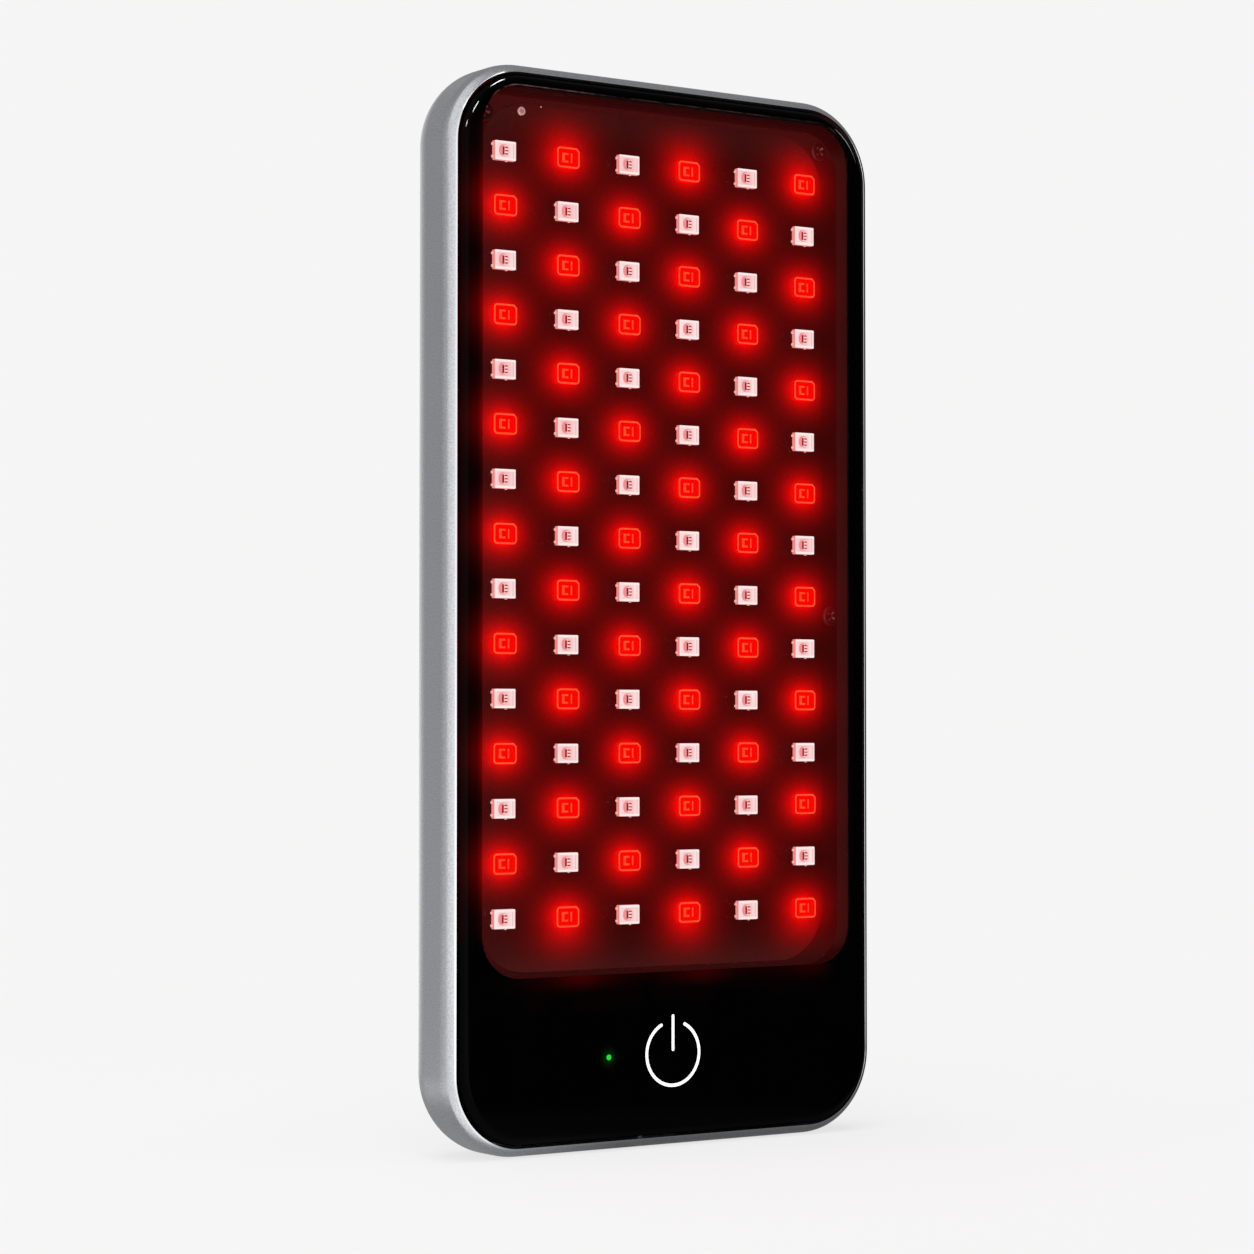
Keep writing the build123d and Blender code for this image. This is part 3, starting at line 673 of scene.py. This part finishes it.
# Battery
# Two pouch cells in creased aluminium foil with nickel tabs. A small guard board bridges the tabs,
# dark foam holds the cells against the shell, and two silicone leads end in a white plug.
foil = mottled("pouch_foil", (0.50, 0.50, 0.51), (0.66, 0.66, 0.67), 5.0, 0.25, metallic=0.9, roughness=0.34)
dressed("battery_cells", foil)
nickel = mottled(
    "nickel", (0.50, 0.48, 0.44), (0.64, 0.61, 0.56), 0.4, 0.01, (0.1, 1.0, 1.0), metallic=1.0, roughness=0.3
)
dressed("cell_tabs", nickel)
foam = mottled(
    "dark_foam", (0.012, 0.012, 0.013), (0.040, 0.040, 0.042), 0.45, 0.12, roughness=0.95, specular=0.05
)
dressed("battery_foam", foam)
lead = mottled(
    "lead_silicone", (0.30, 0.012, 0.010), (0.40, 0.020, 0.016), 1.2, 0.01, roughness=0.5, specular=0.3
)
dressed("battery_leads", lead)
nylon = mottled(
    "socket_nylon", (0.66, 0.64, 0.58), (0.74, 0.72, 0.66), 0.9, 0.01, roughness=0.45, specular=0.35
)
dressed("battery_socket", nylon)
dressed("ribbon_socket", nylon)


# Circuit boards
# Green masked boards with copper runs under the mask, black moulded chips and coils, brown ceramic
# capacitors, and a thin amber ribbon that brings the lamps their current.
board_green = Finish(bpy.data.materials.new("green_board"))
x, z = board_green.parts(board_green.place(), "XZ")
run_pitch = 1.2
upright_run = 1.0 - x.math("PINGPONG", x, run_pitch / 2).rising(0.13, 0.19)
level_run = 1.0 - z.math("PINGPONG", z, run_pitch / 2).rising(0.13, 0.19)
chosen = board_green.grain(3.0, 0.0)
runs = upright_run * chosen.rising(0.52, 0.54) + level_run * (1.0 - chosen.rising(0.44, 0.46))
runs = runs.held(0.0, 1.0)
board_green.surface(
    base_color=board_green.blended(rgb(0.006, 0.060, 0.022), rgb(0.014, 0.115, 0.042), runs),
    roughness=0.35,
    specular=0.4,
    normal=board_green.bump(runs, 0.4, 0.02),
)
dressed("control_board", board_green)
dressed("protection_board", board_green)
moulding = mottled(
    "chip_black", (0.010, 0.010, 0.011), (0.022, 0.022, 0.023), 0.15, 0.01, roughness=0.6, specular=0.3
)
for node in ("protection_chips", "controller", "driver_chips", "coils", "thermistor"):
    dressed(node, moulding)
ceramic = Finish(bpy.data.materials.new("capacitor_ceramic"))
speckle = ceramic.grain(0.2)
ceramic.surface(
    base_color=ceramic.blended(rgb(0.22, 0.13, 0.075), rgb(0.30, 0.19, 0.11), speckle),
    roughness=0.45,
    specular=0.4,
    normal=ceramic.bump(speckle, 0.3, 0.01),
)
dressed("capacitors", ceramic)
ribbon = mottled(
    "ribbon_film",
    (0.36, 0.13, 0.012),
    (0.50, 0.21, 0.025),
    0.5,
    0.01,
    (1.0, 1.0, 0.05),
    roughness=0.3,
    coat=0.3,
)
dressed("light_ribbon", ribbon)


# Touch key and its lamps
# A copper ring behind the bezel feels a finger and passes it on through a gilt spring pin. Small
# white lamps light a clear guide behind the power symbol, and one lights the rod of the charge light.
copper = mottled(
    "copper_foil", (0.62, 0.26, 0.14), (0.80, 0.38, 0.22), 1.5, 0.01, metallic=1.0, roughness=0.3
)
dressed("touch_foil", copper)
gilt = mottled(
    "gilt_contact", (0.72, 0.50, 0.18), (0.86, 0.64, 0.28), 0.3, 0.005, metallic=1.0, roughness=0.22
)
dressed("touch_contact", gilt)
guide = mottled(
    "clear_guide",
    (0.78, 0.80, 0.80),
    (0.90, 0.91, 0.91),
    2.0,
    0.01,
    roughness=0.12,
    transmission_weight=0.85,
    ior=1.49,
)
dressed("light_guide", guide)
dressed("indicator_pipe", guide)
small_lamp = mottled(
    "small_lamp", (0.70, 0.68, 0.62), (0.80, 0.78, 0.72), 0.3, 0.005, roughness=0.4, specular=0.4
)
dressed("symbol_lamps", small_lamp)
dressed("indicator_lamp", small_lamp)


# Charging port
# A drawn stainless sleeve in the bottom edge with a black core, on whose tongue twelve gilt
# contacts lie side by side.
drawn_steel = mottled(
    "drawn_steel",
    (0.46, 0.46, 0.47),
    (0.62, 0.62, 0.63),
    0.3,
    0.01,
    (1.0, 1.0, 0.06),
    metallic=1.0,
    roughness=0.25,
)
dressed("port_shell", drawn_steel)
contact_pitch = 0.5
contacts_reach = 3.0
core = Finish(bpy.data.materials.new("port_core"))
x, y, z = core.parts(core.place())
stripe = x.math("PINGPONG", x, contact_pitch / 2).rising(0.11, 0.14)
contact = stripe * (1.0 - abs(x).rising(contacts_reach - 0.02, contacts_reach))
contact = contact * z.rising(1.9, 1.95) * (1.0 - z.rising(5.8, 5.9))
black = core.blended(rgb(0.008, 0.008, 0.009), rgb(0.018, 0.018, 0.019), core.grain(0.12))
core.surface(
    base_color=core.blended(black, rgb(0.80, 0.58, 0.24), contact),
    metallic=contact,
    roughness=0.5 - contact * 0.25,
    normal=core.bump(contact, 0.6, 0.02),
)
dressed("port_tongue", core)


# Red lamps
# White moulded packages with a clear-filled cup and two soldered ends. Lit, the cup glows pure red,
# its rim orange, and the lead frame in it shows as a bracket and a bar.
board_front = -3.35
lamp_front = -4.35
red_width = 4.8
red_height = 3.7
red_cut = 0.60
red_corner = 0.70
red_rim = 0.24
red_slope = 0.10
red_sink = 0.30
lead_x = 2.30
lead_z = 1.10
bar_depth = 0.06


def lamp_places(parity):
    """Middles of the lamps of one kind."""
    return [
        (first_column + column * column_pitch, top_row - row * row_pitch)
        for row in range(15)
        for column in range(6)
        if (column + row) % 2 == parity
    ]


def repeated(template, places):
    """Copies a small mesh to every place, turned by its angle."""
    pattern = bpy.data.meshes.new("pattern")
    template.to_mesh(pattern)
    template.free()
    whole = bmesh.new()
    for x, z, turn in places:
        before = len(whole.verts)
        whole.from_mesh(pattern)
        added = list(whole.verts)[before:]
        bmesh.ops.rotate(whole, cent=(0, 0, 0), matrix=Matrix.Rotation(turn, 3, "Y"), verts=added)
        bmesh.ops.translate(whole, vec=(x, 0, z), verts=added)
    return whole


def united(parts):
    """Puts several meshes into one."""
    whole = bmesh.new()
    for part in parts:
        mesh = bpy.data.meshes.new("part")
        part.to_mesh(mesh)
        part.free()
        whole.from_mesh(mesh)
    return whole


def soldered_ends(finish_number):
    """The solder at a lamp's two ends and the moulding mark below it."""
    parts = []
    for side in (-1, 1):
        for height in (-lead_z, lead_z):
            end = box(0.26, 0.5, 0.44, side * lead_x, board_front - 0.25, height)
            eased(end, lambda edge: True, 0.08, 2)
            parts.append(end)
    parts.append(box(0.34, 0.3, 0.12, 0.45, board_front - 0.45, -red_height / 2 + 0.04))
    whole = united(parts)
    for face in whole.faces:
        face.material_index = finish_number
    return whole


def flat_bars(sizes_and_places, y):
    """Thin bars that lie at one depth, from their widths, heights and middles."""
    return united([box(width, bar_depth, height, x, y, z) for width, height, x, z in sizes_and_places])


def glowing(name, colour, other, size, lit, **sockets):
    """A finish that gives off part of its own colour."""
    finish = Finish(bpy.data.materials.new(name))
    patches = finish.grain(size)
    shade = finish.blended(rgb(*colour), rgb(*other), patches)
    held_back = finish.blended(shade, rgb(0.0, 0.0, 0.0), patches * 0.1 + 0.85)
    finish.surface(base_color=held_back, emission_color=shade, emission_strength=lit, **sockets)
    return finish


def cut_corner(edge):
    """Picks the upper right corner, which is cut to show how the lamp goes in."""
    return runs_along(1)(edge) and edge.verts[0].co.x + edge.verts[0].co.z > 4.0


def round_corner(edge):
    """Picks the other three corners."""
    return runs_along(1)(edge) and min(edge.verts[0].co.x, edge.verts[0].co.z) < 0


lamp_middle = (board_front + lamp_front) / 2
red_body = box(red_width, board_front - lamp_front, red_height, 0, lamp_middle, 0)
eased(red_body, cut_corner, red_cut, 1)
eased(red_body, round_corner, red_corner, 4)
eased(red_body, lies_at(1, lamp_front), 0.08, 2)
inset(red_body, lamp_front, red_rim)
inset(red_body, lamp_front, red_slope, red_sink)
for face in red_body.faces:
    face.material_index = 0 if face.calc_center_median().y < lamp_front + 0.05 else 1
red_lamp = united([red_body, soldered_ends(2)])
red_places = [(x, z, 0.0) for x, z in lamp_places(1)]
rim_glow = glowing(
    "red_lamp_rim", (1.0, 0.055, 0.018), (1.0, 0.120, 0.040), 0.9, 1.0, roughness=0.4, specular=0.1
)
resin_glow = glowing(
    "red_lamp_resin", (0.92, 0.0006, 0.0003), (1.0, 0.002, 0.001), 1.2, 1.0, roughness=0.2, specular=0.1
)
# The soldered ends give off the lamps' red as painted light.
red_lit_solder = glowing(
    "red_lamp_solder", (0.60, 0.003, 0.002), (0.85, 0.012, 0.006), 0.4, 0.9, roughness=0.3, specular=0.1
)
red_finishes = [rim_glow, resin_glow, red_lit_solder]
piece("red_lamp_bodies", repeated(red_lamp, red_places), red_finishes, ["red_lamps"])

red_bars = (
    (0.50, 1.66, -0.88, 0.0),
    (0.80, 0.32, -0.24, 0.67),
    (0.80, 0.32, -0.24, -0.67),
    (0.26, 1.66, 0.84, 0.0),
)
bracket = flat_bars(red_bars, lamp_front + red_sink - 0.02)
frame_glow = glowing("red_lamp_frame", (1.0, 0.025, 0.006), (1.0, 0.120, 0.030), 0.8, 1.0, roughness=0.3)
piece("red_lamp_frames", repeated(bracket, red_places), [frame_glow], ["red_dies"])


# Near-infrared lamps
# The same kind of white package with a smaller oval cup. Their light can't be seen, so they stay
# pale, and only the bonded lead frame shows in the cup. Their pale pink look is painted light that they give
# off.
# One lamp was soldered slightly askew.
pale_width = 4.34
pale_height = 3.38
cup_x = -0.30
cup_width = 2.20
cup_height = 2.16
cup_round = 0.92
cup_sink = 0.16
cup_slope = 0.23
askew_lamp = (20, 51)
askew_turn = 7.0


def off_column(x):
    """How far a place lies to the right of the nearest column of lamps."""
    across = x - first_column
    return across - across.math("ROUND", across / column_pitch) * column_pitch


pale_body = box(pale_width, board_front - lamp_front, pale_height, 0, lamp_middle, 0)
eased(pale_body, runs_along(1), 0.16, 2)
eased(pale_body, lies_at(1, lamp_front), 0.14, 2)
sections = []
for side in (-1, 1):
    wider = -side * cup_slope
    outline = rounded(cup_width + 2 * wider, cup_height + 2 * wider, cup_round + wider, 5)
    sections.append((lamp_front + side * cup_sink, outline))
pale_body = carved(pale_body, lofted(sections, cup_x))
for face in pale_body.faces:
    middle = face.calc_center_median()
    in_cup = abs(middle.x - cup_x) < 1.25 and abs(middle.z) < 1.2
    if in_cup and middle.y > lamp_front + 0.01 and face.normal.y < 0.1:
        face.material_index = 1 if face.normal.y < -0.95 else 2
pale_lamp = united([pale_body, soldered_ends(3)])
pale_places = [
    (x, z, math.radians(askew_turn) if (round(x), round(z)) == askew_lamp else 0.0) for x, z in lamp_places(0)
]

pale = Finish(bpy.data.materials.new("pale_lamp_body"))
x, y, z = pale.parts(pale.place())
off_row = z.math("PINGPONG", z - (top_row - 20 * row_pitch), row_pitch / 2)
across = off_column(x)
# The whole front colour is given off as painted light: painted highlights on the end and right bands, a
# darker seam line, a pinker flush round the cup, and painted red shade on the sides.
painted_end_highlight = off_row.rising(1.20, 1.34)
painted_right_highlight = across.rising(1.70, 1.76)
seam = across.rising(1.48, 1.54) * (1.0 - across.rising(1.64, 1.70))
side = y.rising(lamp_front + 0.05, lamp_front + 0.14)
tint = pale.grain(11.0, 1.0).rising(0.30, 0.70)
flush = tint * 0.50 + (1.0 - abs(across - cup_x).rising(0.8, 1.7)) * 0.35
front = pale.blended(rgb(1.0, 0.83, 0.81), rgb(0.94, 0.47, 0.48), flush)
front = pale.blended(front, rgb(1.0, 0.76, 0.73), painted_right_highlight)
front = pale.blended(front, rgb(0.86, 0.36, 0.38), seam * 0.7)
front = pale.blended(front, rgb(1.0, 0.88, 0.86), painted_end_highlight)
front = pale.blended(front, rgb(0.90, 0.25, 0.25), side)
body_base = pale.blended(rgb(0.05, 0.03, 0.03), rgb(0.07, 0.04, 0.04), tint)
pale.surface(base_color=body_base, roughness=0.5, specular=0.05, emission_color=front, emission_strength=1.0)
filled = Finish(bpy.data.materials.new("pale_lamp_cup"))
(x,) = filled.parts(filled.place(), "X")
# The cup gives off painted light, painted darker on its left as shade.
shade = off_column(x).rising(cup_x - 0.50, cup_x + 0.20)
filled_colour = filled.blended(rgb(0.88, 0.27, 0.27), rgb(1.0, 0.72, 0.70), shade)
filled.surface(
    base_color=rgb(0.03, 0.01, 0.01),
    roughness=0.2,
    specular=0.05,
    emission_color=filled.blended(filled_colour, rgb(0.92, 0.46, 0.46), filled.grain(0.6) * 0.25),
    emission_strength=1.0,
)
cup_wall = Finish(bpy.data.materials.new("pale_lamp_cup_wall"))
(x,) = cup_wall.parts(cup_wall.place(), "X")
# The cup's wall gives off painted light, painted darker on its left as shade.
shade = off_column(x).rising(cup_x - 0.7, cup_x + 0.9)
wall_colour = cup_wall.blended(rgb(0.86, 0.25, 0.26), rgb(0.98, 0.58, 0.57), shade)
wall_colour = cup_wall.blended(wall_colour, rgb(0.90, 0.40, 0.41), cup_wall.grain(0.7) * 0.25)
cup_wall.surface(
    base_color=rgb(0.03, 0.01, 0.01),
    roughness=0.4,
    specular=0.05,
    emission_color=wall_colour,
    emission_strength=1.0,
)
# The soldered ends give off painted pink light.
pale_solder = glowing(
    "pale_lamp_solder", (0.90, 0.34, 0.28), (1.0, 0.62, 0.52), 0.35, 0.95, roughness=0.3, specular=0.1
)
pale_finishes = [pale, filled, cup_wall, pale_solder]
piece(
    "infrared_lamp_bodies",
    repeated(pale_lamp, pale_places),
    pale_finishes,
    ["infrared_lamps"],
)

pale_bars = (
    (0.40, 1.46, -0.38, 0.0),
    (0.62, 0.24, 0.25, 0.56),
    (0.62, 0.22, 0.25, 0.0),
    (0.62, 0.24, 0.25, -0.56),
)
comb = flat_bars(pale_bars, lamp_front + cup_sink - 0.02)
# The lead frame gives off painted dark red light.
comb_shade = glowing(
    "pale_lamp_frame", (0.26, 0.001, 0.004), (0.62, 0.008, 0.016), 0.5, 1.0, roughness=0.3, specular=0.02
)
piece("infrared_lamp_frames", repeated(comb, pale_places), [comb_shade], ["infrared_dies"])


# Bezel, power symbol and charge light
# One three-shot moulding: gloss-black round the window and under it, white for the power symbol and
# clear for the charge light, with a soft rounded shoulder that stands proud of the shell's lip.
bezel_front = -8.4
bezel_back = -6.4
bezel_width = 87.7
bezel_height = 185.7
bezel_corner = 12.6
bezel_shoulder = 1.6
window_width = 79.9
window_height = 154.8
window_middle = 108.4
window_corner = 7.7
window_flare = 1.6
symbol_middle = 16.5
symbol_radius = 5.67
symbol_stroke = 0.58
symbol_gap = 53.0
symbol_bar_foot = 0.68
symbol_bar_head = 6.6
light_x = -13.75
light_radius = 0.5


def round_ended(points, width):
    """The outline of a line of this width with round ends, from the points along its middle."""
    outline = []
    for side, run in ((1, points), (-1, points[::-1])):
        for index, (x, z) in enumerate(run):
            ahead = run[min(index + 1, len(run) - 1)]
            behind = run[max(index - 1, 0)]
            angle = math.atan2(ahead[1] - behind[1], ahead[0] - behind[0])
            outline.append((x - math.sin(angle) * width / 2, z + math.cos(angle) * width / 2))
        for step in range(1, 8):
            turned = angle + math.pi / 2 - step * math.pi / 8
            outline.append((x + math.cos(turned) * width / 2, z + math.sin(turned) * width / 2))
    return outline


def arc(radius, start, stop, steps):
    """Points on a circle between two angles in degrees."""
    angles = [math.radians(start + (stop - start) * step / steps) for step in range(steps + 1)]
    return [(radius * math.cos(angle), radius * math.sin(angle)) for angle in angles]


ring_line = round_ended(arc(symbol_radius, 90 + symbol_gap / 2, 450 - symbol_gap / 2, 64), symbol_stroke)
bar_line = round_ended([(0.0, symbol_bar_foot), (0.0, symbol_bar_head)], symbol_stroke)
dot_line = arc(light_radius, 0, 360 - 15, 23)
bezel_depth = bezel_back - bezel_front
bezel = box(bezel_width, bezel_depth, bezel_height, 0, (bezel_front + bezel_back) / 2, body_height / 2)
eased(bezel, runs_along(1), bezel_corner, 24)
eased(bezel, lies_at(1, bezel_front), bezel_shoulder, 10)
overrun = 0.2
cut_from = bezel_front - overrun
cut_to = bezel_back + overrun
sections = []
for y in (cut_from, cut_to):
    wider = window_flare / bezel_depth * (y - bezel_front)
    outline = rounded(window_width + 2 * wider, window_height + 2 * wider, window_corner + wider, 14)
    sections.append((y, outline))
bezel = carved(bezel, lofted(sections, 0, window_middle))
for line, x in ((ring_line, 0.0), (bar_line, 0.0), (dot_line, light_x)):
    bezel = carved(bezel, lofted([(cut_from, line), (cut_to, line)], x, symbol_middle))

gloss = Finish(bpy.data.materials.new("gloss_black"))
x, y, z = gloss.parts(gloss.place())
window_half = window_width / 2
window_foot = window_middle - window_height / 2
window_head = window_middle + window_height / 2
# The black gives off painted light: a painted red bleed from the lamps beside and under the window, a little
# more on the shoulder, a painted highlight along the window's top edge, and a painted green glow round the
# charge light.
light = red_light(x.held(-38.0, 38.0), z.held(36.5, 183.0))
outward = x * -1.0 - window_half
downward = window_foot - z
upward = z - window_head
beside = (1.0 - downward.rising(-9.0, -5.0)) * (1.0 - upward.rising(-9.0, -4.0)) * outward.rising(-0.4, 0.0)
near = (1.0 - outward.rising(0.0, 1.6)) ** 2.0
shoulder = y.rising(bezel_front + 0.15, bezel_front + 0.7)
far = outward.rising(1.0, 3.8)
painted_red_bleed = beside * (light * (0.30 - far * 0.24 + near * 0.62) + 0.0016 + near * 0.008 + shoulder * 0.002)
under = downward.rising(-0.1, 0.0) * (1.0 - abs(x).rising(28.0, 38.0))
close_by = (1.0 - downward.rising(0.0, 3.6)) ** 1.5
to_right = x.rising(-20.0, 30.0)
painted_red_bleed = painted_red_bleed + under * close_by * (0.003 + light * (0.18 - to_right * 0.11))
painted_red_bleed = painted_red_bleed + under * (1.0 - downward.rising(0.0, 9.0)) * 0.0022 * gloss.grain(9.0).rising(0.35, 0.60)
corner_x = (abs(x) - (window_half - window_corner)).held(0.0, 50.0)
corner_z = (upward + window_corner).held(0.0, 50.0)
off_edge = (corner_x * corner_x + corner_z * corner_z) ** 0.5 - window_corner
painted_edge_highlight = off_edge.rising(-0.06, 0.02) * (1.0 - off_edge.rising(0.10, 0.24)) * upward.rising(-3.0, -0.6)
painted_edge_highlight = painted_edge_highlight * (0.3 + (x * -1.0).rising(0.0, 34.0) * 0.7) * gloss.grain(2.2, 3.0).rising(0.35, 0.65)
from_dot = gloss.node(
    "ShaderNodeVectorMath",
    {"operation": "DISTANCE"},
    {0: gloss.place(), 1: (light_x, bezel_front, symbol_middle)},
    1,
)
dot_glow = (1.0 - from_dot.rising(0.4, 2.8)) ** 2.0
smear = gloss.grain(7.0, 3.0)
gloss.surface(
    base_color=gloss.blended(rgb(0.0004, 0.0004, 0.0005), rgb(0.0009, 0.0009, 0.0010), smear),
    roughness=0.04 + smear * 0.03,
    specular=0.022,
    emission_color=gloss.joined(
        painted_red_bleed + painted_edge_highlight * 0.16, dot_glow * 0.014 + painted_edge_highlight * 0.07, painted_edge_highlight * 0.07
    ),
    emission_strength=1.0,
)
shown_bezel = piece("bezel", bezel, [gloss], ["black_bezel"], 30.0)

white = Finish(bpy.data.materials.new("lit_white"))
lit_white = white.blended(rgb(0.80, 0.79, 0.79), rgb(0.90, 0.90, 0.90), white.grain(3.0))
white.surface(
    base_color=lit_white, roughness=0.3, specular=0.3, emission_color=lit_white, emission_strength=0.85
)
power_mark = united(
    [lofted([(bezel_front, line), (bezel_back, line)], 0, symbol_middle) for line in (ring_line, bar_line)]
)
piece("power_mark", power_mark, [white], ["power_symbol"])

green = glowing("lit_green", (0.008, 0.66, 0.022), (0.02, 0.85, 0.05), 0.4, 0.95, roughness=0.2, specular=0.1)
dot = lofted([(bezel_front, dot_line), (bezel_back, dot_line)], light_x, symbol_middle)
piece("charge_light", dot, [green], ["indicator_lens"])


# Strip lights
# Narrow lamps hang above the camera. Three of them show only in the bezel's gloss, as short streaks on
# its upper left corner, one dimly on its upper right, and the last one only on the shell's bright lip.
strip_distance = 2.0
upper_left = (-37, -8, 182)
upper_right = (39, -8, 182)
left_lip = (-41, -7, 186)
strips = (
    (shown_bezel, upper_left, (0.010, -0.365, 0.931), (0.215, -0.105, 0.971), 0.24, 480.0),
    (shown_bezel, upper_left, (-0.280, -0.780, 0.565), (-0.130, -0.760, 0.637), 0.28, 600.0),
    (shown_bezel, upper_left, (-0.761, -0.468, 0.449), (-0.650, -0.565, 0.505), 0.20, 440.0),
    (shown_bezel, upper_right, (0.732, -0.572, 0.374), (0.803, -0.519, 0.291), 0.45, 60.0),
    (shown_shell, left_lip, (-0.400, -0.690, 0.600), (0.330, -0.280, 0.900), 0.15, 1.7),
)
for number, (shown_in, corner, first, second, width, brightness) in enumerate(strips, 1):
    start, stop = [Vector(way).normalized() * strip_distance for way in (first, second)]
    length = (stop - start).length
    strip = area_light(f"strip_light_{number}", length, width, brightness * math.pi * length * width)
    along = (stop - start).normalized()
    across = (start + stop).cross(along).normalized()
    turned = Matrix((along, across, along.cross(across))).transposed().to_4x4()
    strip.matrix_world = Matrix.Translation(Vector(corner) / 1000 + (start + stop) / 2) @ turned
    strip.visible_diffuse = False
    shown_only_in = bpy.data.collections.new(f"lit_by_strip_{number}")
    shown_only_in.objects.link(shown_in)
    strip.light_linking.receiver_collection = shown_only_in


# Front pane
# A clear moulded pane that fills the window flush with the bezel. It is polished, with a faint
# unevenness that only its reflections show.
clear = Finish(bpy.data.materials.new("clear_pane"))
wave = clear.grain(18.0, 2.0)
tilt = clear.node("ShaderNodeLayerWeight", {}, {"Blend": 0.5}, "Facing")
gloss_share = (0.039 + tilt**5.0 * 0.961) * (0.9 + wave * 0.1)
through = clear.node("ShaderNodeBsdfTransparent", {}, {"Color": rgb(1.0, 1.0, 1.0)})
mirror = clear.node("ShaderNodeBsdfGlossy", {}, {"Color": rgb(1.0, 1.0, 1.0), "Roughness": 0.03})
clear.show(clear.node("ShaderNodeMixShader", {}, {0: gloss_share, 1: through, 2: mirror}))
dressed("front_pane", clear)


# Frame screws
# Six small pan-head screws with a cross recess hold the frame. Their heads lie in its counterbores
# and give off the red of the lamps as painted light.
screw_head = 1.75
screw_top = -3.95
screw_seat = -3.05
screw = bmesh.new()
bmesh.ops.create_cone(
    screw,
    cap_ends=True,
    segments=40,
    radius1=screw_head,
    radius2=screw_head,
    depth=screw_seat - screw_top,
    matrix=Matrix.Translation((0, (screw_seat + screw_top) / 2, 0)) @ faces_front,
)
eased(screw, lies_at(1, screw_top), 0.5, 5)
for turn in (0, 90):
    slot_cut = lofted(
        [(screw_top - 0.1, rounded(2.0, 0.5, 0.08, 2)), (screw_top + 0.55, rounded(0.9, 0.36, 0.06, 2))]
    )
    bmesh.ops.rotate(
        slot_cut, cent=(0, 0, 0), matrix=Matrix.Rotation(math.radians(turn), 3, "Y"), verts=slot_cut.verts
    )
    screw = carved(screw, slot_cut)
# The sloping ends of the recess take the painted glint.
for face in screw.faces:
    middle = face.calc_center_median()
    off_axis = math.hypot(middle.x, middle.z)
    if middle.y > screw_top + 0.05 and 0.4 < off_axis < 1.1 and -0.97 < face.normal.y < -0.2:
        face.material_index = 1
steel = Finish(bpy.data.materials.new("screw_steel"))
x, y, z = steel.parts(steel.place())
scratch = steel.grain(0.35, 2.0)
light = red_light(x, z)
# Painted light on the head: the lamps' red, a lighter ring as a painted highlight on its rounded edge, and
# painted shade on the upper left screw.
ring = y.rising(screw_top + 0.05, screw_top + 0.25) * (1.0 - y.rising(screw_top + 0.40, screw_top + 0.55))
shaded = (x * -1.0).rising(20.0, 34.0) * z.rising(150.0, 170.0)
red = (light * 0.75 + 0.030 + ring * 0.030) * (0.85 + scratch * 0.30) * (1.0 - shaded * 0.5)
grey = 0.0012 + ring * 0.003
steel.surface(
    base_color=steel.blended(rgb(0.030, 0.012, 0.012), rgb(0.050, 0.020, 0.020), scratch),
    metallic=0.9,
    roughness=0.4,
    emission_color=steel.joined(red, grey, grey),
    emission_strength=1.0,
)
painted_slot_glint = glowing("screw_slot", (0.12, 0.014, 0.014), (0.22, 0.040, 0.040), 0.5, 0.9, roughness=0.3)
screw_places = (
    (-36.7, 181.6, 0.3),
    (36.7, 181.6, 0.8),
    (-39.2, 95.0, 0.1),
    (39.2, 95.0, 0.6),
    (-36.7, 8.6, 1.2),
    (36.7, 8.6, 0.5),
)
piece("screw_heads", repeated(screw, screw_places), [steel, painted_slot_glint], ["frame_screws"])
